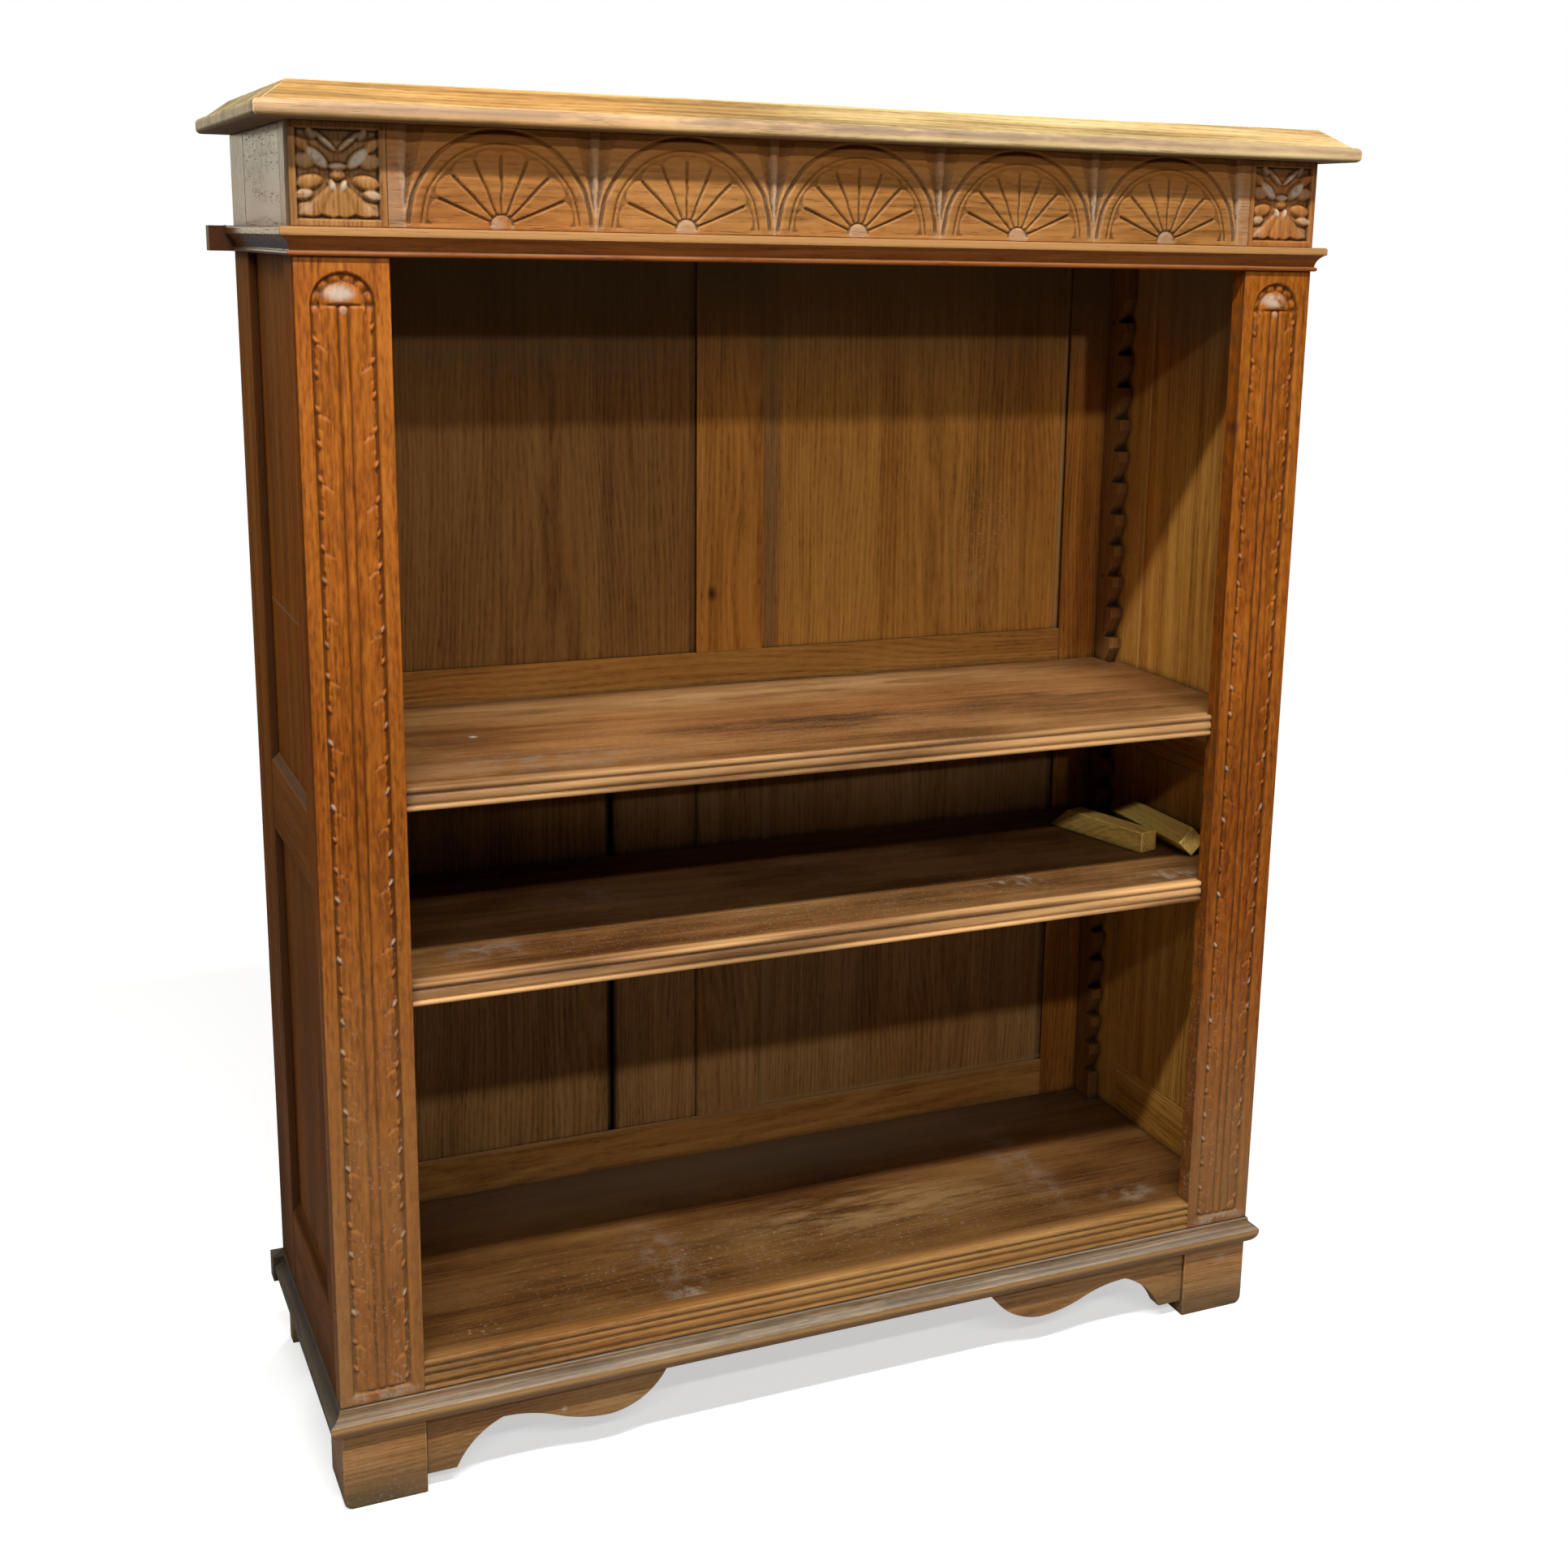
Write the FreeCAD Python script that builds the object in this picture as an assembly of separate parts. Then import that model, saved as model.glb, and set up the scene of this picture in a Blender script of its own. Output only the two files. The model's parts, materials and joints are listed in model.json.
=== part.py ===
import FreeCAD, Part
import math
import os

# An open oak bookcase: carved front, panelled sides and back, two shelves on notched racks.
# Millimetres, +Z up, the front faces -Y. Solids are drawn with Y = 0 on the pilaster faces
# and X = 0 on the centre line, and are saved with the origin under the middle of the whole.

# Case
case_width = 1100.0
case_depth = 366.0
pilaster_width = 86.0
pilaster_thickness = 22.0
pilaster_height = 1140.0

# Carving grounds on the pilasters
sunk_margin = 14.0
sunk_depth = 2.5
sunk_foot = 12.0
reed_width = 9.0
reed_head_gap = 4.0

# Frieze, necking and top
frieze_height = 91.0
frieze_thickness = 22.0
frieze_tenon_length = 20.0
frieze_tenon_thickness = 8.0
necking_height = 25.5
necking_projection = 12.0
necking_bead_reach = 3.5
necking_bead_height = 4.5
necking_bead_bulge = 1.5
necking_band = 8.0
necking_band_round = 2.5
necking_band_bulge = 0.8
necking_quirk = 1.0
necking_cove_depth = 2.0
necking_stop_projection = 28.0
necking_stop_length = 22.0
top_thickness = 34.0
top_overhang = 33.0
top_nosing_height = 15.0
top_nosing_radius = 5.0
top_quirk = 2.0
top_slope_run = 34.0

# Base
foot_height = 85.0
foot_depth = 70.0
rear_foot_width = 70.0
rear_foot_thickness = 18.0
rear_foot_inset = 4.0
foot_corner_radius = 10.0
base_height = 31.0
base_projection = 12.5
base_rail_depth = 40.0
base_nosing_height = 16.0
base_nosing_undercut = 9.0
base_nosing_bulge = 2.5
base_lip = 2.0
base_stop_projection = 14.5
base_stop_length = 20.0
base_quirk = 1.0
base_fillet = 2.0
base_hollow_depth = 2.0
bracket_length = 266.0
bracket_thickness = 20.0
bracket_setback = 4.0
bracket_toe_length = 32.0
bracket_toe_lift = 18.0
bracket_arch_length = 50.0
bracket_arch_lift = 47.0
bracket_arch_bow = 7.0
bracket_drop_length = 117.0
bracket_drop = 25.0
bracket_drop_bow = 3.0
bracket_end_bow = 11.0

# Side frames
side_thickness = 25.0
front_stile_width = 28.0
rear_stile_width = 95.0
middle_rail_height = 84.0
middle_rail_top = 622.0
bottom_rail_height = 100.0
panel_thickness = 10.0
panel_recess = 8.0
panel_field_gap = 0.5
groove_depth = 9.0
panel_play = 2.0
tenon_length = 18.0
tenon_shoulder = 13.0

# Back frame
back_thickness = 14.0
back_rebate = 10.0
back_stile_width = 80.0
back_muntin_width = 84.0
back_top_rail_height = 80.0
back_middle_rail_height = 84.0
back_middle_rail_top = 681.0
back_bottom_rail_height = 85.0
back_panel_thickness = 8.0
shrinkage_gap = 8.0
shrinkage_rebate = 4.0
split_offset = 107.0
split_gap = 7.0
split_tongue = 5.0
split_tongue_thickness = 3.0

# Bottom
bottom_front_height = 34.0
bottom_reed_shares = (3, 6, 4, 4)
bottom_thickness = 22.0
housing_depth = 6.0

# Racks, bearers and shelves
rack_width = 38.0
rack_thickness = 16.0
notch_pitch = 40.0
notch_depth = 16.0
notch_headroom = 2.0
first_notch = 36.0
rack_top_land = 40.0
middle_notch = 8
upper_notch = 13
bearer_width = 26.0
bearer_height = 26.0
bearer_end_play = 1.0
bearer_side_play = 0.5
shelf_thickness = 24.0
shelf_setback = 11.0
shelf_play = 1.5
shelf_reed_shares = (5, 9, 6)
reed_depth = 2.5
reed_quirk = 1.2

# Loose battens on the middle shelf
batten_length = 158.0
batten_bevel = 30.0
flat_batten_inset = 78.0
flat_batten_y = 211.0
flat_batten_turn = 15.0
leaning_batten_y = 178.0
leaning_batten_tilt = 45.0
resting_gap = 0.2

# Glue blocks and screws
block_size = 24.0
block_length = 70.0
blocks_behind_frieze = 3
screw_radius = 2.0
screw_head_radius = 4.0
screw_head_height = 2.2
screw_length = 30.0
rack_screw_length = 26.0
screw_play = 0.1
screw_end_margin = 70.0
screws_per_stile = 5
screws_per_rack = 4

# Levels and planes that follow from the sizes above
half_width = case_width / 2
side_inner = half_width - side_thickness
pilaster_inner = half_width - pilaster_width
case_z = foot_height + base_height
necking_z = case_z + pilaster_height
frieze_z = necking_z + necking_height
top_z = frieze_z + frieze_height
bottom_top_z = case_z + bottom_front_height
stile_end_y = pilaster_thickness + front_stile_width
rear_stile_y = case_depth - rear_stile_width
back_y = case_depth - back_thickness
back_half = side_inner + back_rebate
back_stile_inner = back_half - back_stile_width
notch_height = bearer_height + notch_headroom
seat_zero_z = bottom_top_z + first_notch
origin_y = (case_depth - top_overhang) / 2
tolerance = 1e-6


def point(x, y, z):
    return FreeCAD.Vector(x, y, z)


def box(x0, x1, y0, y1, z0, z1):
    return Part.makeBox(x1 - x0, y1 - y0, z1 - z0, point(x0, y0, z0))


def joined(first, *others):
    return first.fuse(list(others)).removeSplitter()


def mirrored(shape):
    return shape.mirror(point(0, 0, 0), point(1, 0, 0))


def prism(corners, direction):
    """A solid on a closed outline. A corner (mid, end) is an arc through mid to end."""
    edges = []
    here = corners[0]
    for corner in corners[1:] + [corners[0]]:
        if isinstance(corner, tuple):
            middle, corner = corner
            edges.append(Part.Arc(here, middle, corner).toShape())
        elif here.distanceToPoint(corner) > 0:
            edges.append(Part.LineSegment(here, corner).toShape())
        here = corner
    return Part.Face(Part.Wire(edges)).extrude(direction)


def run_along_x(profile, x0, x1):
    """A moulding whose profile is given as (outward, height) and faces -Y."""
    def place(outward, z):
        return point(x0, -outward, z)
    return prism([placed(item, place) for item in profile], point(x1 - x0, 0, 0))


def run_along_y(profile, face_x, y0, y1):
    """The same moulding on the left side of the case, facing -X."""
    def place(outward, z):
        return point(face_x - outward, y0, z)
    return prism([placed(item, place) for item in profile], point(0, y1 - y0, 0))


def placed(item, place):
    """A profile's item in space: a corner of two numbers, or an arc of four."""
    if len(item) == 4:
        return place(*item[:2]), place(*item[2:])
    return place(*item)


def arc_to(start, end, bow):
    """An arc's middle and end, the middle pushed by bow to the left of the line to the end."""
    run = end[0] - start[0]
    rise = end[1] - start[1]
    length = math.hypot(run, rise)
    middle = ((start[0] + end[0]) / 2 - bow * rise / length, (start[1] + end[1]) / 2 + bow * run / length)
    return (*middle, *end)


def plan(corners, z0, z1):
    """A vertical block on a plan outline of (x, y) corners, for cutting mitres."""
    return prism([point(x, y, z0) for x, y in corners], point(0, 0, z1 - z0))


nodes = {}


def keep(name, *solids):
    nodes[name] = solids


def keep_pair(name, shape):
    """The left piece as drawn, and the right one as its mirror image."""
    keep(name + "_left", shape)
    keep(name + "_right", mirrored(shape))


def screw(head, direction, length):
    """A countersunk screw, its head flush at the given point."""
    cone = Part.makeCone(screw_head_radius, screw_radius, screw_head_height, head, direction)
    shank = Part.makeCylinder(screw_radius, length, head, direction)
    return joined(shank, cone)


def screw_hole(head, direction, length):
    """The hole for that screw, larger by the play all round."""
    wide = screw_head_radius + screw_play
    narrow = screw_radius + screw_play
    cone = Part.makeCone(wide, narrow, screw_head_height, head, direction)
    shank = Part.makeCylinder(narrow, length + screw_play, head, direction)
    return joined(shank, cone)


def spread(low, high, count):
    return [low + (high - low) * step / (count - 1) for step in range(count)]


rack_levels = spread(bottom_top_z + screw_end_margin, necking_z - screw_end_margin, screws_per_rack)
back_levels = spread(case_z + screw_end_margin, top_z - screw_end_margin, screws_per_stile)
front_rack_y = pilaster_thickness
rear_rack_y = back_y - rack_width
front_rack_screw_y = (front_rack_y + stile_end_y) / 2
rear_rack_screw_y = back_y - (rack_width - notch_depth) / 2
back_screw_x = -(side_inner + back_half) / 2
rack_face = -side_inner + rack_thickness
left_rack_screws = [
    (point(rack_face, y, z), point(-1, 0, 0), rack_screw_length)
    for y in (front_rack_screw_y, rear_rack_screw_y) for z in rack_levels
]
left_back_screws = [
    (point(back_screw_x, case_depth, z), point(0, -1, 0), screw_length) for z in back_levels
]
left_holes = [screw_hole(*place) for place in left_rack_screws + left_back_screws]


def grown_box(spans, amount, flat_axis):
    """A box on its x, y and z spans, grown by amount on each axis but the flat one."""
    x, y, z = [
        span if axis == flat_axis else (span[0] - amount, span[1] + amount)
        for axis, span in zip("xyz", spans)
    ]
    return box(*x, *y, *z)


def framed_panel(spans, flat_axis):
    """A panel that fills the spans between four members, and the groove that it stands in."""
    panel = grown_box(spans, groove_depth - panel_play, flat_axis)
    return panel, grown_box(spans, groove_depth, flat_axis)


def side_frames():
    panel_x = (-half_width + panel_recess, -half_width + panel_recess + panel_thickness)
    middle_top = case_z + middle_rail_top
    middle_foot = middle_top - middle_rail_height
    bottom_top = case_z + bottom_rail_height
    levels = {
        "side_top_rail": (necking_z, top_z),
        "side_middle_rail": (middle_foot, middle_top),
        "side_bottom_rail": (case_z, bottom_top),
    }
    panel_y = (stile_end_y, rear_stile_y)
    upper_panel, upper_groove = framed_panel((panel_x, panel_y, (middle_top, necking_z)), "x")
    lower_panel, lower_groove = framed_panel((panel_x, panel_y, (bottom_top, middle_foot)), "x")
    grooves = [upper_groove, lower_groove]
    tenons = [
        box(*panel_x, stile_end_y - tenon_length, rear_stile_y + tenon_length,
            low + tenon_shoulder, high - tenon_shoulder)
        for low, high in levels.values()
    ]
    housing = box(-side_inner - housing_depth, -side_inner, pilaster_thickness, back_y,
                  bottom_top_z - bottom_thickness, bottom_top_z)
    rebate = box(-back_half, -side_inner, back_y, case_depth, case_z, top_z)
    front = box(-half_width, -side_inner, pilaster_thickness, stile_end_y, case_z, top_z)
    rear = box(-half_width, -side_inner, rear_stile_y, case_depth, case_z, top_z)
    keep_pair("side_front_stile", front.cut(grooves + tenons + [housing] + left_holes))
    keep_pair("side_rear_stile", rear.cut(grooves + tenons + [housing, rebate] + left_holes))
    for (name, (low, high)), tenon in zip(levels.items(), tenons):
        rail = box(-half_width, -side_inner, *panel_y, low, high)
        if name != "side_top_rail":
            bevel = [(0, high), (-panel_recess, high), (0, high - panel_recess)]
            rail = rail.cut(run_along_y(bevel, -half_width, *panel_y))
        keep_pair(name, joined(rail.cut(grooves + [housing]), tenon))
    upper_field = side_field(panel_x[1], panel_y, (middle_top, necking_z))
    lower_field = side_field(panel_x[1], panel_y, (bottom_top, middle_foot))
    keep_pair("side_upper_panel", joined(upper_panel, upper_field))
    keep_pair("side_lower_panel", joined(lower_panel, lower_field))


def side_field(x, y_span, z_span):
    """The thick middle of a side panel, flush with the inside of its frame."""
    gap = panel_field_gap
    return box(x, -side_inner, y_span[0] + gap, y_span[1] - gap, z_span[0] + gap, z_span[1] - gap)


def pilasters():
    body = box(-half_width, -pilaster_inner, 0, pilaster_thickness, case_z, necking_z)
    centre = (half_width + pilaster_inner) / -2
    radius = pilaster_width / 2 - sunk_margin
    spring = necking_z - sunk_margin - radius
    foot = case_z + sunk_foot
    ground = prism([point(centre - radius, 0, foot), point(centre + radius, 0, foot),
                    point(centre + radius, 0, spring),
                    (point(centre, 0, spring + radius), point(centre - radius, 0, spring))],
                   point(0, sunk_depth, 0))
    reed = box(centre - reed_width / 2, centre + reed_width / 2, 0, sunk_depth,
               foot, spring - reed_head_gap)
    keep_pair("pilaster", body.cut(ground.cut(reed)))


def frieze():
    tenon_y = (frieze_thickness - frieze_tenon_thickness) / 2
    reach = pilaster_inner + frieze_tenon_length
    tenon = box(-reach, reach, tenon_y, tenon_y + frieze_tenon_thickness,
                frieze_z + tenon_shoulder, top_z - tenon_shoulder)
    rail = box(-pilaster_inner, pilaster_inner, 0, frieze_thickness, frieze_z, top_z)
    block = box(-half_width, -pilaster_inner, 0, frieze_thickness, frieze_z, top_z)
    keep("frieze_rail", joined(rail, tenon))
    keep_pair("frieze_block", block.cut(tenon))


def necking():
    reach = necking_projection
    band_z = frieze_z - necking_band
    bead_foot = (necking_bead_reach, necking_z)
    bead_head = (necking_bead_reach, necking_z + necking_bead_height)
    cove_foot = (necking_bead_reach - necking_quirk, necking_z + necking_bead_height)
    cove_head = (reach - necking_quirk, band_z)
    shoulder = (reach, frieze_z - necking_band_round)
    profile = [
        (-frieze_thickness, necking_z),
        bead_foot,
        arc_to(bead_foot, bead_head, -necking_bead_bulge),
        cove_foot,
        arc_to(cove_foot, cove_head, necking_cove_depth),
        (reach, band_z),
        shoulder,
        arc_to(shoulder, (reach - necking_band_round, frieze_z), -necking_band_bulge),
        (-frieze_thickness, frieze_z),
    ]
    outer = half_width + reach
    front_plan = [(-outer, -reach), (outer, -reach), (half_width, 0), (half_width, frieze_thickness),
                  (-half_width, frieze_thickness), (-half_width, 0)]
    side_plan = [(-outer, -reach), (-half_width, 0), (-half_width, case_depth), (-outer, case_depth)]
    front = run_along_x(profile, -outer, outer).common(plan(front_plan, necking_z, frieze_z))
    side = run_along_y(profile, -half_width, -reach, case_depth)
    side = side.common(plan(side_plan, necking_z, frieze_z))
    stop = box(-half_width - necking_stop_projection, -half_width,
               case_depth - necking_stop_length, case_depth, necking_z, frieze_z)
    keep("necking_front", front)
    keep_pair("necking", joined(side, stop))


def top():
    outer = half_width + top_overhang
    nosing = box(-outer, outer, -top_overhang, case_depth, top_z, top_z + top_nosing_height)
    edges = [edge for edge in nosing.Edges if on_moulded_edge(edge, outer)]
    nosing = nosing.makeFillet(top_nosing_radius, edges)
    low_z = top_z + top_nosing_height
    high_z = top_z + top_thickness
    crown = Part.makeLoft([top_ring(top_quirk + top_nosing_radius, low_z),
                           top_ring(top_slope_run, high_z)], True, True)
    keep("top_board", joined(nosing, crown))


def on_moulded_edge(edge, outer):
    """True for the long edges of the nosing on the front and at both ends."""
    middle = edge.CenterOfMass
    flat = edge.BoundBox.ZLength < tolerance
    return flat and (middle.y < tolerance - top_overhang or abs(middle.x) > outer - tolerance)


def top_ring(inset, z):
    half = half_width + top_overhang - inset
    front = -top_overhang + inset
    corners = [point(-half, front, z), point(half, front, z), point(half, case_depth, z),
               point(-half, case_depth, z)]
    return Part.makePolygon(corners + corners[:1])


def base():
    reach = base_projection
    nosing_z = foot_height + base_nosing_height
    lip_z = nosing_z + base_lip
    nosing_foot = (reach - base_nosing_undercut, foot_height)
    hollow_foot = (reach - base_quirk, lip_z + base_quirk)
    profile = [
        (-base_rail_depth, foot_height),
        nosing_foot,
        arc_to(nosing_foot, (reach, nosing_z), -base_nosing_bulge),
        (reach, lip_z),
        hollow_foot,
        arc_to(hollow_foot, (base_fillet, case_z - base_fillet), base_hollow_depth),
        (base_fillet, case_z),
        (-base_rail_depth, case_z),
    ]
    outer = half_width + reach
    inner = half_width - base_rail_depth
    front_plan = [(-outer, -reach), (outer, -reach), (inner, base_rail_depth), (-inner, base_rail_depth)]
    side_plan = [(-outer, -reach), (-inner, base_rail_depth), (-inner, case_depth), (-outer, case_depth)]
    front = run_along_x(profile, -outer, outer)
    side = run_along_y(profile, -half_width, -reach, case_depth)
    keep("base_moulding_front", front.common(plan(front_plan, foot_height, case_z)))
    stop = box(-half_width - base_stop_projection, -half_width,
               case_depth - base_stop_length, case_depth, foot_height, case_z)
    keep_pair("base_moulding", joined(side.common(plan(side_plan, foot_height, case_z)), stop))
    keep("base_rear_rail", box(-inner, inner, case_depth - base_rail_depth, case_depth,
                               foot_height, case_z))


def feet():
    radius = foot_corner_radius
    bend = radius * (1 - math.sqrt(0.5))
    outline = [point(-half_width, 0, foot_height), point(-half_width, 0, radius),
               (point(-half_width + bend, 0, bend), point(-half_width + radius, 0, 0)),
               point(-pilaster_inner, 0, 0), point(-pilaster_inner, 0, foot_height)]
    keep_pair("front_foot", prism(outline, point(0, foot_depth, 0)))
    outer = -half_width + rear_foot_inset
    keep_pair("rear_foot", box(outer, outer + rear_foot_width,
                               case_depth - rear_foot_thickness, case_depth, 0, foot_height))


def brackets():
    """Scrolled brackets: a toe beside the foot, a hollow, a drop, and a sweep up to the base."""
    start = -pilaster_inner
    toe = (start + bracket_toe_length, bracket_toe_lift)
    arch = (toe[0] + bracket_arch_length, toe[1] + bracket_arch_lift)
    drop = (arch[0] + bracket_drop_length, arch[1] - bracket_drop)
    swell = ((arch[0] + drop[0]) / 2, (arch[1] + drop[1]) / 2)
    outline = [
        (start, foot_height),
        (start, bracket_toe_lift),
        toe,
        arc_to(toe, arch, bracket_arch_bow),
        arc_to(arch, swell, bracket_drop_bow),
        arc_to(swell, drop, -bracket_drop_bow),
        arc_to(drop, (start + bracket_length, foot_height), -bracket_end_bow),
    ]

    def at(x, z):
        return point(x, bracket_setback, z)

    corners = [placed(item, at) for item in outline]
    keep_pair("apron_bracket", prism(corners, point(0, bracket_thickness, 0)))


def back():
    lip = (back_thickness - back_panel_thickness) / 2
    panel_y = (back_y + lip, back_y + lip + back_panel_thickness)
    half_muntin = back_muntin_width / 2
    bottom_top = case_z + back_bottom_rail_height
    middle_top = case_z + back_middle_rail_top
    middle_foot = middle_top - back_middle_rail_height
    top_foot = top_z - back_top_rail_height
    tiers = {"upper": (middle_top, top_foot), "lower": (bottom_top, middle_foot)}
    bays = {"left": (-back_stile_inner, -half_muntin), "right": (half_muntin, back_stile_inner)}
    panels = {}
    grooves = []
    for tier, (low, high) in tiers.items():
        for bay, (x0, x1) in bays.items():
            panels[tier, bay], groove = framed_panel(((x0, x1), panel_y, (low, high)), "y")
            grooves.append(groove)
    rails = {"back_top_rail": (top_foot, top_z), "back_middle_rail": (middle_foot, middle_top),
             "back_bottom_rail": (case_z, bottom_top)}
    rail_reach = back_stile_inner + tenon_length
    rail_tenons = {
        name: box(-rail_reach, rail_reach, *panel_y, low + tenon_shoulder, high - tenon_shoulder)
        for name, (low, high) in rails.items()
    }
    muntin_tenons = {
        tier: box(-half_muntin + tenon_shoulder, half_muntin - tenon_shoulder, *panel_y,
                  low - tenon_length, high + tenon_length)
        for tier, (low, high) in tiers.items()
    }
    stile = box(-back_half, -back_stile_inner, back_y, case_depth, case_z, top_z)
    keep_pair("back_stile", stile.cut(grooves + list(rail_tenons.values()) + left_holes))
    for name, (low, high) in rails.items():
        rail = box(-back_stile_inner, back_stile_inner, back_y, case_depth, low, high)
        rail = joined(rail.cut(grooves), rail_tenons[name])
        keep(name, rail.cut(list(muntin_tenons.values())))
    for tier, (low, high) in tiers.items():
        muntin = box(-half_muntin, half_muntin, back_y, case_depth, low, high)
        keep("back_muntin_" + tier, joined(muntin.cut(grooves), muntin_tenons[tier]))
    back_panels(panels, panel_y, half_muntin)


def back_panels(panels, panel_y, half_muntin):
    """Panels that have shrunk: a rebated edge shows beside a member, and one panel has split."""
    front = panel_y[0]

    def shrunk(panel, edge_x):
        """The front of the panel stops short of the member that stands to its right."""
        bounds = panel.BoundBox
        return panel.cut(box(edge_x - shrinkage_gap, bounds.XMax, front, front + shrinkage_rebate,
                             bounds.ZMin, bounds.ZMax))

    keep("back_panel_upper_left", shrunk(panels["upper", "left"], -half_muntin))
    keep("back_panel_upper_right", shrunk(panels["upper", "right"], back_stile_inner))
    keep("back_panel_lower_right", shrunk(panels["lower", "right"], back_stile_inner))
    split = panels["lower", "left"]
    bounds = split.BoundBox
    split_right = -half_muntin - split_offset
    split_left = split_right - split_gap
    tongue_y = panel_y[1] - split_tongue_thickness
    tongue = box(split_left, split_right + split_tongue, tongue_y, panel_y[1], bounds.ZMin, bounds.ZMax)
    rows = (*panel_y, bounds.ZMin, bounds.ZMax)
    wide_board = joined(box(bounds.XMin, split_left, *rows), tongue)
    narrow_board = box(split_right, bounds.XMax, *rows).cut(tongue)
    keep("back_panel_lower_left", wide_board, narrow_board)


def reeded_bar(x0, x1, front_y, rear_y, z0, reeds):
    """A bar whose front is worked into reeds, listed as heights from the bottom up."""
    total = sum(reeds) + reed_quirk * (len(reeds) - 1)
    groove_y = front_y + reed_depth

    def at(y, z):
        return point(x0, y, z)

    outline = [at(rear_y, z0), at(groove_y, z0)]
    z = z0
    for number, height in enumerate(reeds):
        if number:
            z += reed_quirk
            outline.append(at(groove_y, z))
        outline.append((at(front_y, z + height / 2), at(groove_y, z + height)))
        z += height
    outline.append(at(rear_y, z0 + total))
    return prism(outline, point(x1 - x0, 0, 0))


def reeds_for(height, shares):
    """Reed heights in the given shares that, with their quirks, add up to height."""
    room = height - reed_quirk * (len(shares) - 1)
    return [room * share / sum(shares) for share in shares]


def bottom():
    reach = side_inner + housing_depth
    keep("bottom_board", box(-reach, reach, pilaster_thickness, back_y,
                             bottom_top_z - bottom_thickness, bottom_top_z))
    reeds = reeds_for(bottom_front_height, bottom_reed_shares)
    keep("bottom_front_rail", reeded_bar(-pilaster_inner, pilaster_inner, 0, pilaster_thickness,
                                         case_z, reeds))


def racks():
    """Notched strips: each seat is level, and the notch slopes back out above it."""
    room = necking_z - seat_zero_z - notch_height - rack_top_land
    count = int(room // notch_pitch) + 1

    def strip(wall_y, tip_y):
        inward = math.copysign(notch_depth, wall_y - tip_y)
        outline = [point(-side_inner, wall_y, bottom_top_z), point(-side_inner, tip_y, bottom_top_z)]
        for step in range(count):
            seat_z = seat_zero_z + step * notch_pitch
            outline.append(point(-side_inner, tip_y, seat_z))
            outline.append(point(-side_inner, tip_y + inward, seat_z))
            outline.append(point(-side_inner, tip_y, seat_z + notch_height))
        outline.append(point(-side_inner, tip_y, necking_z))
        outline.append(point(-side_inner, wall_y, necking_z))
        return prism(outline, point(rack_thickness, 0, 0)).cut(left_holes)

    keep_pair("front_rack", strip(front_rack_y, front_rack_y + rack_width))
    keep_pair("rear_rack", strip(back_y, rear_rack_y))


def bearer(seat_z):
    """A batten across two notches, its ends sloped like them."""
    front = front_rack_y + rack_width - notch_depth + bearer_end_play
    rear = rear_rack_y + notch_depth - bearer_end_play
    slope = notch_depth * bearer_height / notch_height
    x = -side_inner + bearer_side_play
    upper_z = seat_z + bearer_height
    outline = [point(x, front, seat_z), point(x, rear, seat_z),
               point(x, rear - slope, upper_z), point(x, front + slope, upper_z)]
    return prism(outline, point(bearer_width, 0, 0))


def shelf(seat_z):
    """A shelf between the sides, notched round the pilasters and the racks."""
    z0 = seat_z + bearer_height
    z1 = z0 + shelf_thickness
    reach = side_inner - shelf_play
    nose_reach = pilaster_inner - shelf_play
    rack_reach = side_inner - rack_thickness - shelf_play
    plank_y = pilaster_thickness + shelf_play
    plank = box(-reach, reach, plank_y, back_y - shelf_play, z0, z1)
    front_rack_end = front_rack_y + rack_width + shelf_play
    for side in (-1, 1):
        x0, x1 = sorted((side * rack_reach, side * reach))
        plank = plank.cut([box(x0, x1, plank_y, front_rack_end, z0, z1),
                           box(x0, x1, rear_rack_y - shelf_play, back_y, z0, z1)])
    reeds = reeds_for(shelf_thickness, shelf_reed_shares)
    nose = reeded_bar(-nose_reach, nose_reach, shelf_setback, plank_y, z0, reeds)
    return joined(plank, nose)


def shelves():
    for name, notch in (("upper", upper_notch), ("middle", middle_notch)):
        seat_z = seat_zero_z + notch * notch_pitch
        keep("shelf_" + name, shelf(seat_z))
        keep_pair("bearer_" + name, bearer(seat_z))


def batten():
    """A short batten along Y about the origin, square at the front and bevelled at the rear."""
    half = batten_length / 2
    x = -bearer_width / 2
    outline = [point(x, -half, 0), point(x, half, 0),
               point(x, half - batten_bevel, bearer_height), point(x, -half, bearer_height)]
    return prism(outline, point(bearer_width, 0, 0))


def loose_battens():
    shelf_z = seat_zero_z + middle_notch * notch_pitch + bearer_height + shelf_thickness
    flat = batten()
    flat.rotate(point(0, 0, 0), point(0, 0, 1), flat_batten_turn)
    flat.translate(point(side_inner - flat_batten_inset, flat_batten_y, shelf_z))
    leaning = batten()
    lowest = point(bearer_width / 2, 0, 0)
    leaning.rotate(lowest, point(0, 1, 0), leaning_batten_tilt)
    lowest_x = side_inner - resting_gap - bearer_height * math.sin(math.radians(leaning_batten_tilt))
    leaning.translate(point(lowest_x, leaning_batten_y, shelf_z + resting_gap) - lowest)
    keep("loose_batten_flat", flat)
    keep("loose_batten_leaning", leaning)


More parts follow.
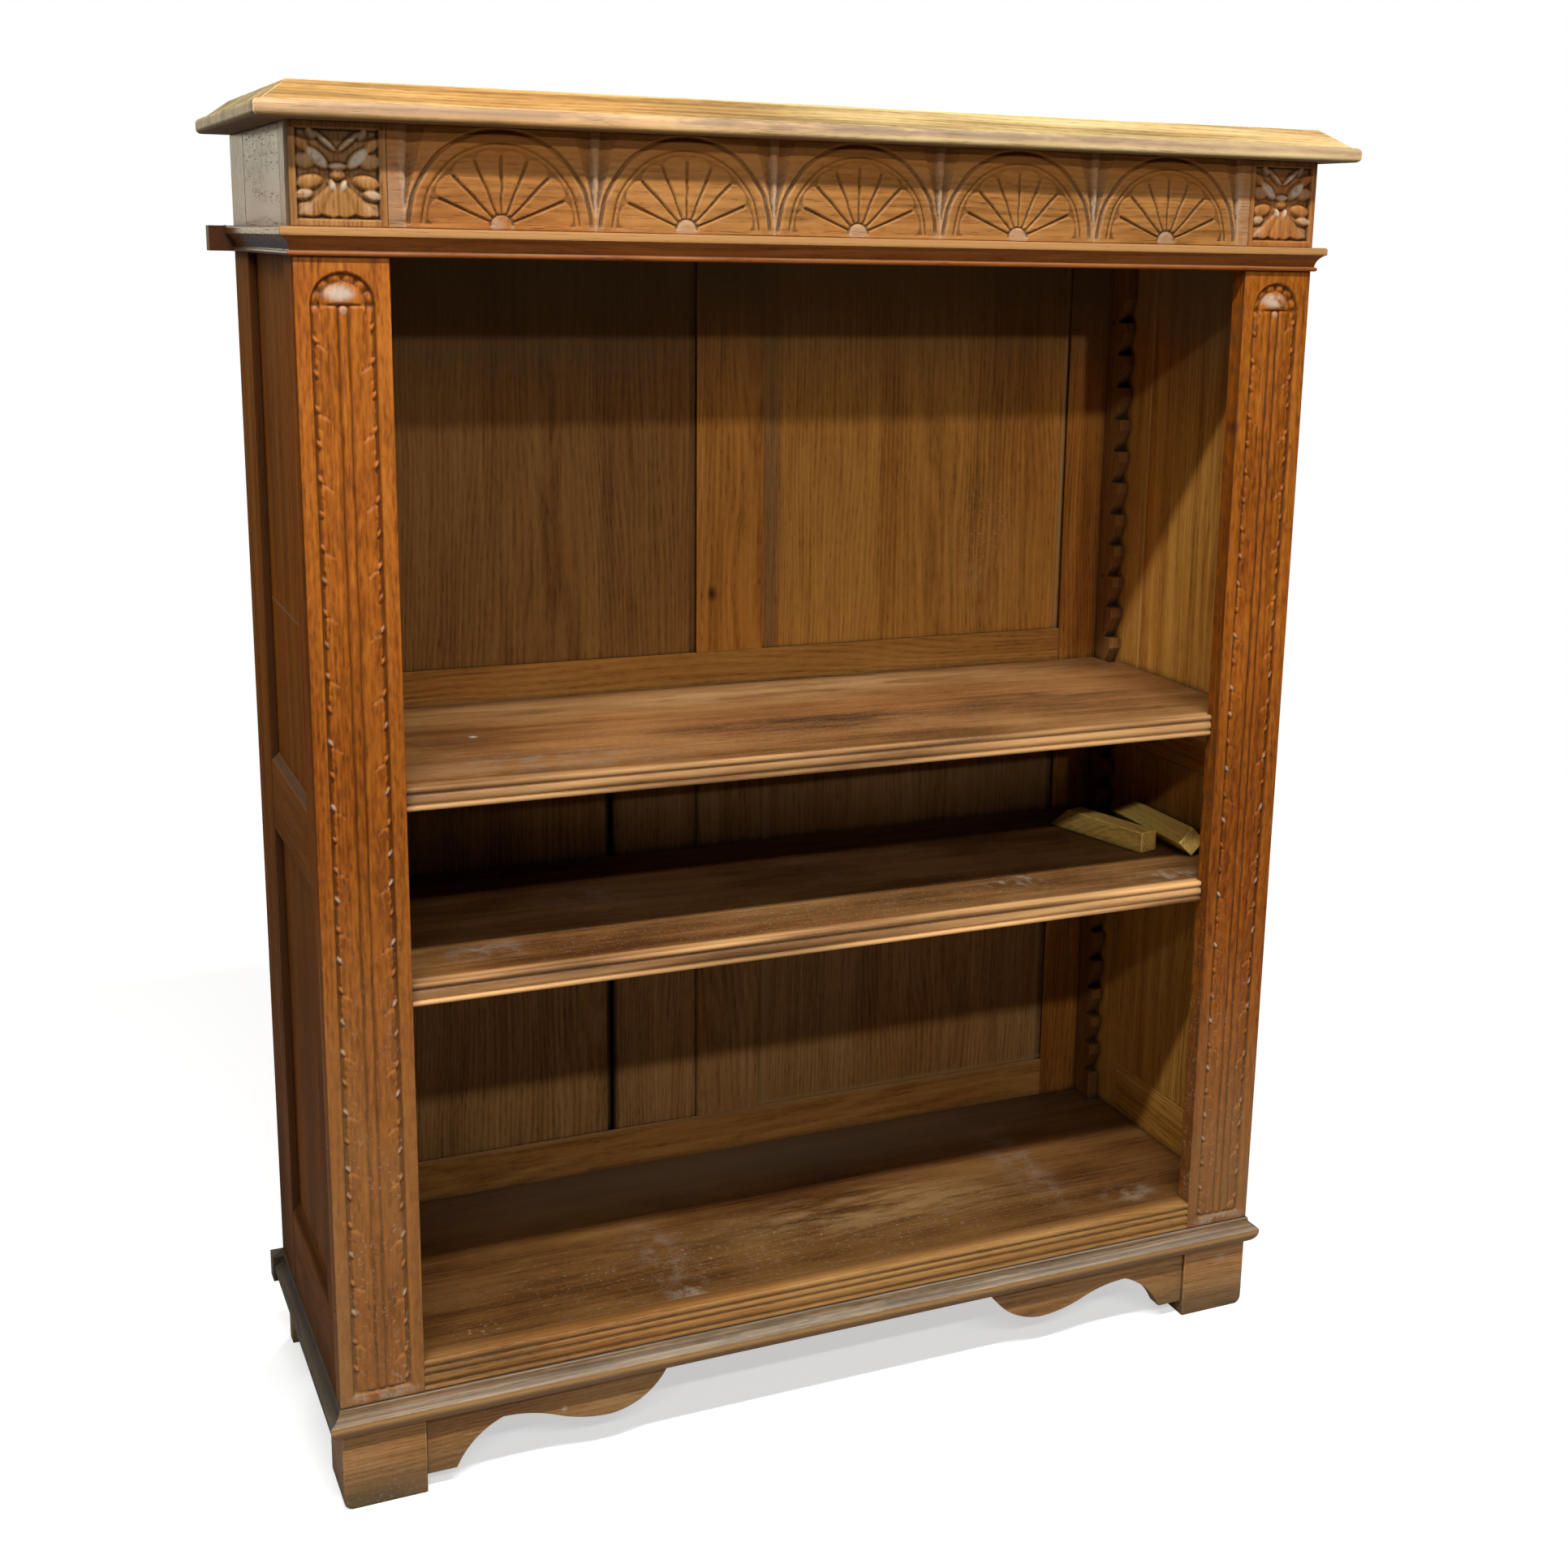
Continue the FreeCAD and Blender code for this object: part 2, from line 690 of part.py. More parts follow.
def glue_blocks():
    """Blocks under the top, behind the frieze and along the sides, and behind each bracket."""
    reach = pilaster_inner - block_length
    block_z = (top_z - block_size, top_z)
    behind_frieze = [
        box(x - block_length / 2, x + block_length / 2,
            frieze_thickness, frieze_thickness + block_size, *block_z)
        for x in spread(-reach, reach, blocks_behind_frieze)
    ]
    left = [
        box(-side_inner, -side_inner + block_size, y, y + block_length, *block_z)
        for y in (stile_end_y + block_length / 2, rear_stile_y - block_length)
    ]
    bracket_back = bracket_setback + bracket_thickness
    toe_end = bracket_toe_length - pilaster_inner
    left.append(box(toe_end, toe_end + block_length, bracket_back, bracket_back + block_size,
                    foot_height - block_size, foot_height))
    keep("glue_blocks", *behind_frieze, *left, *[mirrored(block) for block in left])


def screws():
    left = [screw(*place) for place in left_rack_screws + left_back_screws]
    keep("wood_screws", *left, *[mirrored(piece) for piece in left])


def save():
    os.makedirs("parts", exist_ok=True)
    for name, solids in nodes.items():
        shape = solids[0] if len(solids) == 1 else Part.makeCompound(list(solids))
        shape.translate(point(0, -origin_y, 0))
        shape.exportStep("parts/" + name + ".step")
    print(len(nodes), "nodes saved")


side_frames()
pilasters()
frieze()
necking()
top()
base()
feet()
brackets()
back()
bottom()
racks()
shelves()
loose_battens()
glue_blocks()
screws()
save()
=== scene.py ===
"""Looks of an open carved oak bookcase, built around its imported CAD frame."""

import json
import math

import bmesh
import bpy
import numpy as np
from mathutils import Euler, Matrix, Vector

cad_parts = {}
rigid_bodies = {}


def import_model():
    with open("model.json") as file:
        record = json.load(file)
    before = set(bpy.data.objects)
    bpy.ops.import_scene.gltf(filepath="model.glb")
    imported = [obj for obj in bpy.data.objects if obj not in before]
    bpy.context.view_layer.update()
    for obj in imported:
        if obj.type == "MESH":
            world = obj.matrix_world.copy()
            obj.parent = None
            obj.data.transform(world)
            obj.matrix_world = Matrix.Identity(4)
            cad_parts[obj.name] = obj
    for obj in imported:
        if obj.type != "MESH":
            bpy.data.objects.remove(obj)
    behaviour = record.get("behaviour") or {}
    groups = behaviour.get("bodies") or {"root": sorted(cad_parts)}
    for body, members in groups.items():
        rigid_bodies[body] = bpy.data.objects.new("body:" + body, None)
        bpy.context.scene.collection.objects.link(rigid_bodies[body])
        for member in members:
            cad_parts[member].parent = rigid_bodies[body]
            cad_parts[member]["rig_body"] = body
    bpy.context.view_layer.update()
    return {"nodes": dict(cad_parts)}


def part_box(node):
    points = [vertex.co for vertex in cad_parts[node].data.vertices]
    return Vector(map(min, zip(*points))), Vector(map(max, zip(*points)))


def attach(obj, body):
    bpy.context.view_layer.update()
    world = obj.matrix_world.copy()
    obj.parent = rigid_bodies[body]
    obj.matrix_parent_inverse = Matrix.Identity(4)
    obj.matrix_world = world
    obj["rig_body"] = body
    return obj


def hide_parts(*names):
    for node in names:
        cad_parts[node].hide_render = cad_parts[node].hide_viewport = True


bl_info = {
    "name": "Carved Oak Bookcase",
    "version": (1, 0, 0),
    "blender": (4, 5, 0),
    "location": "View3D > Sidebar > Bookcase",
    "description": "Carves, eases and finishes the boards of an open oak bookcase",
    "category": "Object",
}

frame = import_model()

SIDES = ("left", "right")
NECKING_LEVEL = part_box("necking_left")[0].z + 0.010
CUT_AT_NECKING = ("side_front_stile", "side_rear_stile", "side_top_rail")
GRAIN_TURNS = {
    "X": (0.0, 0.0, 0.0),
    "Y": (0.0, 0.0, math.radians(-90)),
    "Z": (0.0, math.radians(90), 0.0),
}
FIBRE_HEIGHT = 0.0006
WELD_DISTANCE = 0.00002  # points closer than this are one
FLAT_ANGLE = math.radians(0.6)  # faces that meet at less than this are one
SHARP_DEGREES = 28.0  # edges sharper than this are rounded
FAR = 5.0  # reach of a mark that runs right across a board


def number_property(name, description, default, **kind):
    """A number that a user may change."""
    return bpy.props.FloatProperty(name=name, description=description, default=default, **kind)


def length_property(name, description, default):
    """A length that a user may change."""
    return number_property(name, description, default, unit="LENGTH")


def colour_property(name, description, default):
    """A colour that a user may change."""
    return bpy.props.FloatVectorProperty(
        name=name, description=description, default=default, size=3, min=0.0, max=1.0, subtype="COLOR"
    )


class CarvingSizes(bpy.types.PropertyGroup):
    """Sizes of the carving on the frieze, its corner blocks and the pilasters."""

    lunette_count: bpy.props.IntProperty(
        name="Lunettes", description="Half-round fans along the frieze", default=5, min=1
    )
    lunette_pitch: length_property("Lunette Pitch", "From one fan's boss to the next", 0.180)
    arch_radius: length_property("Arch Radius", "Outer edge of the band over a fan", 0.0855)
    arch_band: length_property("Arch Band", "Width of that band", 0.0115)
    petal_count: bpy.props.IntProperty(name="Petals", description="Petals of one fan", default=8, min=3)
    petal_reach: length_property("Petal Reach", "From the boss to a petal's end", 0.064)
    boss_rise: length_property("Boss Rise", "Boss above the frieze's foot", 0.003)
    boss_size: length_property("Boss Size", "Radius of a fan's half-round boss", 0.0105)
    frieze_cut: length_property("Frieze Cut", "Depth of the ground round a fan", 0.0034)
    block_margin: length_property("Block Margin", "Plain edge of a corner block", 0.0062)
    block_cut: length_property("Block Cut", "Depth of the ground round a leaf block", 0.0055)
    pilaster_margin: length_property("Pilaster Margin", "Plain edge of a pilaster", 0.014)
    pilaster_cut: length_property("Pilaster Cut", "Deepest cut of the leaf band", 0.0042)
    leaf_pitch: length_property("Leaf Pitch", "Length of one leaf up a pilaster", 0.062)
    reed_width: length_property("Reed Width", "Round reed up a pilaster's middle", 0.008)
    hood_size: length_property("Hood Size", "Radius of the shell at a pilaster's head", 0.0205)


class OakColours(bpy.types.PropertyGroup):
    """Middle colours of the oak on each part of the case."""

    pilaster: colour_property("Pilaster Oak", "Carved pilasters", (0.315, 0.089, 0.0075))
    frieze: colour_property("Frieze Oak", "Carved frieze", (0.32, 0.142, 0.036))
    block: colour_property("Block Oak", "Carved corner blocks", (0.30, 0.138, 0.038))
    necking: colour_property("Necking Oak", "Moulding under the frieze", (0.24, 0.072, 0.010))
    base: colour_property("Base Oak", "Moulding over the feet", (0.31, 0.20, 0.107))
    base_return: colour_property("Base Return Oak", "That moulding on the sides", (0.05, 0.032, 0.017))
    rail: colour_property("Rail Oak", "Reeded rail under the bottom board", (0.35, 0.17, 0.046))
    top: colour_property("Top Oak", "Top board", (0.55, 0.405, 0.178))
    side: colour_property("Side Oak", "Outsides of the framed sides", (0.35, 0.11, 0.010))
    lining: colour_property("Lining Oak", "Insides of the framed sides", (0.47, 0.225, 0.042))
    foot: colour_property("Foot Oak", "Feet and apron brackets", (0.385, 0.195, 0.067))
    shelf: colour_property("Shelf Oak", "Shelves", (0.244, 0.112, 0.034))
    bottom: colour_property("Bottom Oak", "Bottom board", (0.144, 0.061, 0.0145))
    frame: colour_property("Back Frame Oak", "Stiles and muntins of the back", (0.398, 0.156, 0.024))
    cross: colour_property("Back Rail Oak", "Rails of the back", (0.288, 0.130, 0.0257))
    panel_left: colour_property("Left Panel Oak", "Upper left panel of the back", (0.218, 0.0955, 0.021))
    panel_right: colour_property("Right Panel Oak", "Upper right panel of the back", (0.394, 0.174, 0.030))
    low_panel: colour_property("Low Panel Oak", "Lower panels of the back", (0.33, 0.17, 0.055))
    inner: colour_property("Inner Oak", "Racks, rear rail and glue blocks", (0.22, 0.10, 0.026))
    # the batten colour is lighter than the wood, as painted light, since the battens lie in shade; the
    # bearers take a darker share of it
    batten: colour_property("Batten Wood", "Loose battens and bearers", (0.87, 0.56, 0.13))
    # grime: dark old dirt, which also paints shade in corners and in the cuts of the carving
    grime_and_shade: colour_property("Grime", "Old dirt in corners and cuts", (0.022, 0.012, 0.006))
    dust: colour_property("Dust", "Pale dust, scuffs and wax", (0.50, 0.43, 0.33))
    steel: colour_property("Screw Steel", "Slotted wood screws", (0.20, 0.19, 0.18))


class StageSizes(bpy.types.PropertyGroup):
    """Camera, lamps and floor."""

    image_width: number_property("Image Width", "Width of the picture in pixels", 1932.0)
    focal_pixels: number_property("Focal Length", "Focal length in pixels of that picture", 2478.9)
    centre_pixels: bpy.props.FloatVectorProperty(
        name="Centre", description="Pixel that the lens looks straight at", default=(1055.0, 871.0), size=2
    )
    camera_place: bpy.props.FloatVectorProperty(
        name="Camera", description="Place of the camera", default=(-0.8475, -2.0335, 1.2763), size=3,
        subtype="TRANSLATION",
    )
    camera_yaw: number_property("Yaw", "Turn from straight ahead", math.radians(-24.61), subtype="ANGLE")
    camera_pitch: number_property("Pitch", "Tilt downwards", math.radians(12.97), subtype="ANGLE")
    camera_roll: number_property("Roll", "Lean of the camera", math.radians(1.16), subtype="ANGLE")
    floor_radius: length_property("Floor Radius", "Where the pale floor has faded out", 3.2)
    ambient: number_property("Ambient", "Light from all round", 0.022, min=0.0, max=1.0)
    ambient_colour: colour_property("Ambient Colour", "Colour of that light", (0.70, 0.85, 1.0))
    mirrored: number_property("Mirrored", "Share of the surround that gloss shows", 0.1, min=0.0, max=1.0)
    rim_colour: colour_property("Rim Light", "Colour of the lamp behind the left side", (1.0, 0.90, 0.66))
    floor_colour: colour_property("Floor", "Pale floor as it is seen", (0.80, 0.80, 0.80))
    floor_bounce: colour_property("Floor Bounce", "Floor as it lights the case", (0.45, 0.43, 0.41))


class Nodes:
    """Short ways to add and join the nodes of a material or a world."""

    def __init__(self, tree):
        self.tree = tree

    def add(self, kind, **settings):
        node = self.tree.nodes.new(kind)
        for name, value in settings.items():
            setattr(node, name, value)
        return node

    def join(self, value, socket):
        if isinstance(value, bpy.types.NodeSocket):
            self.tree.links.new(value, socket)
        else:
            socket.default_value = value

    def fill(self, node, **values):
        """Joins values to a node's inputs, named with _ for a space, and gives its outputs."""
        for name, value in values.items():
            self.join(value, node.inputs[name.replace("_", " ")])
        return node.outputs

    def math(self, operation, first, second=0.0, third=0.0, clamp=False):
        node = self.add("ShaderNodeMath", operation=operation, use_clamp=clamp)
        for socket, value in zip(node.inputs, (first, second, third)):
            self.join(value, socket)
        return node.outputs[0]

    def times(self, product, *factors):
        for factor in factors:
            product = self.math("MULTIPLY", product, factor)
        return product

    def vector(self, operation, first, second=(0.0, 0.0, 0.0)):
        node = self.add("ShaderNodeVectorMath", operation=operation)
        self.join(first, node.inputs[0])
        self.join(second, node.inputs[1])
        return node.outputs["Value" if operation == "LENGTH" else "Vector"]

    def mapped(self, vector, location=(0, 0, 0), rotation=(0, 0, 0), scale=(1, 1, 1)):
        node = self.add("ShaderNodeMapping")
        return self.fill(node, Vector=vector, Location=location, Rotation=rotation, Scale=scale)["Vector"]

    def noise(self, vector, scale=1.0, detail=2.0, roughness=0.5):
        node = self.add("ShaderNodeTexNoise")
        return self.fill(node, Vector=vector, Scale=scale, Detail=detail, Roughness=roughness)["Fac"]

    def stretched(self, vector, scale, detail=2.0, roughness=0.5, location=(0, 0, 0)):
        """Noise with its own scale along each axis."""
        return self.noise(self.mapped(vector, location, scale=scale), 1.0, detail, roughness)

    def band(self, value, low, high, start=0.0, end=1.0):
        """Start below low, end above high, and a smooth change between them."""
        node = self.add("ShaderNodeMapRange", interpolation_type="SMOOTHSTEP")
        ends = {"From_Min": low, "From_Max": high, "To_Min": start, "To_Max": end}
        return self.fill(node, Value=value, **ends)["Result"]

    def ramp(self, value, *stops):
        node = self.add("ShaderNodeValToRGB")
        elements = node.color_ramp.elements
        while len(elements) < len(stops):
            elements.new(0.5)
        for element, (position, colour) in zip(elements, stops):
            element.position = position
            element.color = (*colour, 1.0)
        return self.fill(node, Fac=value)["Color"]

    def mix(self, factor, first, second, blend="MIX"):
        node = self.add("ShaderNodeMix", data_type="RGBA", blend_type=blend)
        colours = [socket for socket in node.inputs if socket.type == "RGBA"]
        self.join(factor, node.inputs["Factor"])
        for value, socket in zip((first, second), colours):
            is_link = isinstance(value, bpy.types.NodeSocket)
            self.join(value if is_link else (*value, 1.0), socket)
        return next(socket for socket in node.outputs if socket.type == "RGBA")

    def attribute(self, name):
        return self.add("ShaderNodeAttribute", attribute_name=name).outputs["Fac"]

    def crevice(self, reach):
        node = self.add("ShaderNodeAmbientOcclusion", samples=3)
        return self.math("SUBTRACT", 1.0, self.fill(node, Distance=reach)["AO"])

    def seen(self, mirrored):
        """One for rays that show the background, as the camera and reflections do."""
        rays = self.add("ShaderNodeLightPath").outputs
        total = rays["Is Camera Ray"]
        for name, share in (("Is Glossy Ray", mirrored), ("Is Transmission Ray", 1.0)):
            total = self.math("MULTIPLY_ADD", rays[name], share, total, clamp=True)
        return total


class Finish(Nodes):
    """A material with its shader, and the place in the frame that it colours."""

    def __init__(self, name):
        self.material = bpy.data.materials.new(name)
        self.material.use_nodes = True
        super().__init__(self.material.node_tree)
        self.shader = self.tree.nodes["Principled BSDF"]
        self.place = self.add("ShaderNodeTexCoord").outputs["Object"]

    def spot(self, centre, reach, start=0.35):
        """One in the middle of a patch, falling to nothing at its edge."""
        scale = [1.0 / length for length in reach]
        location = [-place * size for place, size in zip(centre, scale)]
        away = self.vector("LENGTH", self.mapped(self.place, location, scale=scale))
        return self.band(away, start, 1.0, 1.0, 0.0)

    def bumped(self, height, strength, distance):
        """Relief too fine for the mesh."""
        bump = self.fill(self.add("ShaderNodeBump"), Strength=strength, Distance=distance, Height=height)
        self.fill(self.shader, Normal=bump["Normal"])


MARK_KINDS = {
    # noise scale along X, Y and Z, and where it starts and ends
    "cloud": ((45.0, 45.0, 45.0), 0.40, 0.66),
    "scuff": ((72.0, 38.0, 72.0), 0.42, 0.76),
    "stain": ((9.0, 42.0, 42.0), 0.40, 0.62),
    "grit": ((270.0, 270.0, 270.0), 0.58, 0.66),
    "line": ((4.0, 260.0, 260.0), 0.42, 0.60),
    "whole": ((1.0, 1.0, 1.0), 0.0, 0.1),
}
PLAIN_LOOK = {
    # pitch of the rings in metres, and how far they wander
    "ring": 0.0038, "drift": 0.045,
    # how strongly each part of the grain shows
    "ring_tone": 0.10, "fibre_tone": 0.70, "streak_tone": 0.45, "fleck_tone": 0.30, "patch_tone": 0.60,
    "patch_size": 1.0, "stain": 0.45, "stain_tint": (1.0, 0.76, 0.58),
    # surface: roughness, reflection and relief
    "gloss": 0.48, "specular": 0.25, "bump": 0.5,
    # paleness of worn arrises with painted edge highlights, and reach of the dirt and painted shade in
    # corners in metres
    "wear": 0.6, "crevice": 0.012,
    # carved boards: dirt and painted shade in the cuts, and paleness of ridges from wear and painted
    # highlight
    "carved": False, "cut_dirt_and_shade": 0.85, "rubbed": 0.55,
    "fade_colour": (0.26, 0.155, 0.075), "marks": (),
}
CARVED = {"carved": True, "crevice": 0.0, "gloss": 0.50}
NO_FADE = (0.0, 0.1, 0.0)


def mark(centre, reach, strength, paint, kind="whole"):
    """A patch of colour round a place, broken up by one kind of noise: paint, dust and dirt, and some
    painted shade and highlights.
    """
    return centre, reach, strength, paint, kind


def shaded(colour, red, green, blue):
    """A colour with each part made stronger or weaker."""
    return tuple(min(1.0, part * by) for part, by in zip(colour, (red, green, blue)))


def seeded(text):
    """A fixed number from 0 to 1 for a name."""
    total = 0
    for place, letter in enumerate(text):
        total += (place + 7) * ord(letter) * 31
    return (total % 997) / 997.0


class Oak(Finish):
    """Oak with rings, fibres and pores along its grain, the wear of long use, and some painted shade and
    highlights.
    """

    def __init__(self, name, box, grain, colour, colours, **look):
        super().__init__(f"{name}_finish")
        self.colour, self.colours = colour, colours
        self.look = look = {**PLAIN_LOOK, "cut_colour": colours.grime_and_shade, **look}
        split = self.add("ShaderNodeSeparateXYZ")
        self.join(self.place, split.inputs[0])
        self.rearward, self.height = split.outputs["Y"], split.outputs["Z"]
        self.ragged = self.noise(self.place, 70.0, 3.0, 0.65)
        self.clean = 1.0
        self.grow(box, grain, seeded(name))
        if look["carved"]:
            self.rub_carving()
        else:
            self.rub_arrises()
        if look["crevice"]:
            self.soil_and_shade_corners()
        if "fade" in look:
            self.fade(*look["fade"])
        if "film" in look:
            self.settle_dust(look["film"])
        if "nose" in look:
            self.wear_nose(*look["nose"])
        self.lay_marks(look["marks"])
        if "cracks" in look:
            self.crack(*look["cracks"])
        if "specks" in look:
            self.speck(*look["specks"])
        self.fill(
            self.shader, Base_Color=self.shade, Roughness=self.rough, Specular_IOR_Level=look["specular"]
        )
        self.bumped(self.rise, look["bump"], FIBRE_HEIGHT)

    def paint(self, factor, colour):
        """Lays a colour over what is there."""
        self.shade = self.mix(factor, self.shade, colour)

    def roughen(self, factor, amount):
        self.rough = self.math("MULTIPLY_ADD", factor, amount, self.rough)

    def grow(self, box, grain, chance):
        """Rings, fibres, streaks, flecks, pores and patches along the grain."""
        look, low, high = self.look, *box
        turn = Vector(GRAIN_TURNS[grain]) + Vector((0.0, 0.035 * (chance - 0.5), 0.05 * (chance - 0.4)))
        pith = Vector((chance * 3.0, 0.05 + 0.07 * chance, 0.09 - 0.15 * chance))
        shift = pith - Euler(turn).to_matrix() @ ((low + high) / 2)
        along = self.mapped(self.place, shift, turn)

        drift = self.stretched(along, (1.6, 9.0, 9.0))
        radius = self.vector("LENGTH", self.vector("MULTIPLY", along, (0.0, 1.0, 1.0)))
        radius = self.math("MULTIPLY_ADD", drift, look["drift"], radius)
        turns = self.times(radius, 2 * math.pi / look["ring"])
        ring = self.math("MULTIPLY_ADD", self.math("SINE", turns), 0.5, 0.5)
        fibre = self.stretched(along, (7.0, 230.0, 230.0), 3.0, 0.6)
        self.streak = self.stretched(along, (2.2, 46.0, 46.0))
        fleck = self.stretched(along, (70.0, 280.0, 280.0))
        pore = self.stretched(along, (60.0, 1000.0, 1000.0), 1.0)
        pore = self.times(self.band(pore, 0.56, 0.70), self.band(ring, 0.75, 0.2))
        size = look["patch_size"]
        self.patch = self.stretched(along, (3.0 / size, 7.5 / size, 7.5 / size), 4.0, 0.6)

        tone = 0.5
        for name, part in (
            ("ring", ring), ("fibre", fibre), ("streak", self.streak), ("fleck", fleck),
            ("patch", self.patch),
        ):
            strength = look[f"{name}_tone"]
            tone = self.math("ADD", tone, self.math("MULTIPLY_ADD", part, strength, -strength / 2))
        tone = self.math("SUBTRACT", tone, self.times(pore, 0.22), clamp=True)
        self.shade = self.ramp(
            tone,
            (0.05, shaded(self.colour, 0.38, 0.32, 0.26)),
            (0.34, shaded(self.colour, 0.74, 0.68, 0.60)),
            (0.55, shaded(self.colour, 1.02, 1.0, 1.0)),
            (0.95, shaded(self.colour, 1.42, 1.55, 1.75)),
        )
        redder = self.stretched(along, (2.0, 5.0, 5.0), location=(3.0, 1.0, 7.0))
        stained = self.mix(1.0, self.shade, look["stain_tint"], "MULTIPLY")
        self.paint(self.band(redder, 0.45, 0.70, 0.0, look["stain"]), stained)
        self.rough = self.math("MULTIPLY_ADD", self.patch, 0.22, look["gloss"] - 0.11)
        self.roughen(pore, 0.2)
        rise = self.math("MULTIPLY_ADD", fibre, 0.5, self.times(ring, 0.15))
        self.rise = self.math("SUBTRACT", rise, self.times(pore, 0.9))

    def rub_carving(self):
        """Dirt and painted shade in the cuts, ridges paler from wear and painted highlight, and pale dust
        and painted highlights where the carving has them.
        """
        look, ridge = self.look, self.attribute("ridge")
        self.paint(self.times(self.band(ridge, 0.46, 0.16), look["cut_dirt_and_shade"]), look["cut_colour"])
        ridge_wear_and_highlight = self.times(self.band(ridge, 0.56, 0.86), self.band(self.ragged, 0.30, 0.62))
        self.paint(self.times(ridge_wear_and_highlight, look["rubbed"]), shaded(self.colour, 1.55, 1.85, 2.5))
        dust_and_highlight = self.times(self.attribute("dust_and_highlight"), self.band(self.ragged, 0.26, 0.52))
        self.paint(dust_and_highlight, self.colours.dust)

    def rub_arrises(self):
        """Pale arrises, from wear and a painted edge highlight."""
        arris = self.times(self.attribute("arris"), self.band(self.ragged, 0.28, 0.60), self.look["wear"])
        self.paint(arris, shaded(self.colour, 1.5, 1.65, 1.9))

    def soil_and_shade_corners(self):
        """Old dirt and painted shade in corners and grooves, laid where ambient occlusion finds them."""
        dirt = self.band(self.crevice(self.look["crevice"]), 0.18, 0.75)
        dirt = self.times(dirt, self.band(self.ragged, 0.15, 0.55, 0.45, 0.9))
        self.paint(dirt, self.colours.grime_and_shade)
        self.roughen(dirt, 0.2)
        self.clean = self.math("SUBTRACT", 1.0, dirt)

    def fade(self, foot, head, strength):
        """Another colour from the foot up, which ends at the head."""
        dull = self.band(self.height, foot, head, strength, 0.0)
        dull = self.times(dull, self.band(self.patch, 0.30, 0.65, 0.35, 1.0))
        self.paint(dull, self.look["fade_colour"])

    def settle_dust(self, strength):
        """Dust on what faces up."""
        facing = self.add("ShaderNodeSeparateXYZ")
        self.join(self.add("ShaderNodeNewGeometry").outputs["Normal"], facing.inputs[0])
        film = self.band(facing.outputs["Z"], 0.25, 0.9, 0.0, strength)
        film = self.times(film, self.band(self.patch, 0.30, 0.62, 0.25, 1.0))
        self.paint(film, self.colours.dust)
        self.roughen(film, 0.3)

    def wear_nose(self, front, reach, paint):
        """A worn front edge with a painted highlight, broken by streaks and clean of the corner dirt and
        shade.
        """
        worn = self.band(self.rearward, front + 0.4 * reach, front + reach, 1.0, 0.0)
        self.paint(self.times(worn, self.band(self.streak, 0.38, 0.66, 0.08, 0.9), self.clean), paint)

    def lay_marks(self, marks):
        """Patches of paint, dust and dirt, and of painted shade and highlights."""
        kinds = {}
        for centre, reach, strength, paint, kind in marks:
            if kind not in kinds:
                scale, low, high = MARK_KINDS[kind]
                kinds[kind] = self.band(self.stretched(self.place, scale, 4.0, 0.65), low, high)
            patch = self.times(self.spot(centre, reach, 0.0), kinds[kind], strength)
            self.paint(patch, paint)
            self.roughen(patch, 0.25)

    def crack(self, centre, reach):
        """A web of fine cracks round a place."""
        web = self.add("ShaderNodeTexVoronoi", feature="DISTANCE_TO_EDGE")
        wander = self.math("MULTIPLY_ADD", self.noise(self.place, 110.0, 3.0, 0.6), 0.03, -0.015)
        web = self.fill(web, Vector=self.vector("ADD", self.place, wander), Scale=46.0)
        line = self.band(web["Distance"], 0.02, 0.10, 0.45, 0.0)
        line = self.times(line, self.spot(centre, reach))
        self.paint(line, self.colours.grime_and_shade)
        self.rise = self.math("MULTIPLY_ADD", line, -3.0, self.rise)

    def speck(self, foot, head, strength):
        """Specks of dust in clusters, from the foot up, in the cuts of a carved board."""
        grit = self.band(self.noise(self.place, 270.0, 2.0, 0.5), 0.59, 0.66)
        where = self.band(self.noise(self.place, 26.0, 2.0, 0.6), 0.38, 0.55)
        grit = self.times(grit, where, self.band(self.height, foot, head, strength, 0.0))
        if self.look["carved"]:
            grit = self.times(grit, self.band(self.attribute("ridge"), 0.62, 0.45, 0.3, 1.0))
        self.paint(grit, self.colours.dust)
        self.roughen(grit, 0.3)


def steel(name, colours):
    """Dull steel with rust in patches, for the screws."""
    finish = Finish(f"{name}_finish")
    cloud = finish.noise(finish.place, 160.0, 4.0, 0.65)
    rust = finish.band(cloud, 0.46, 0.66)
    shade = finish.mix(rust, colours.steel, (0.16, 0.06, 0.02))
    rough = finish.band(cloud, 0.2, 0.8, 0.32, 0.75)
    bare = finish.math("SUBTRACT", 1.0, rust)
    finish.fill(finish.shader, Base_Color=shade, Metallic=bare, Roughness=rough)
    finish.bumped(cloud, 0.4, 0.0004)
    return finish.material


def place_piece(name, board, materials, body, slot, *nodes):
    """Makes an object of a finished mesh, on its body and in place of its CAD nodes."""
    mesh = bpy.data.meshes.new(name)
    board.to_mesh(mesh)
    board.free()
    piece = bpy.data.objects.new(name, mesh)
    bpy.context.scene.collection.objects.link(piece)
    for material in materials:
        mesh.materials.append(material)
    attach(piece, body)
    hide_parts(*nodes)
    return piece


def body_of(node):
    return frame["nodes"][node]["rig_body"]


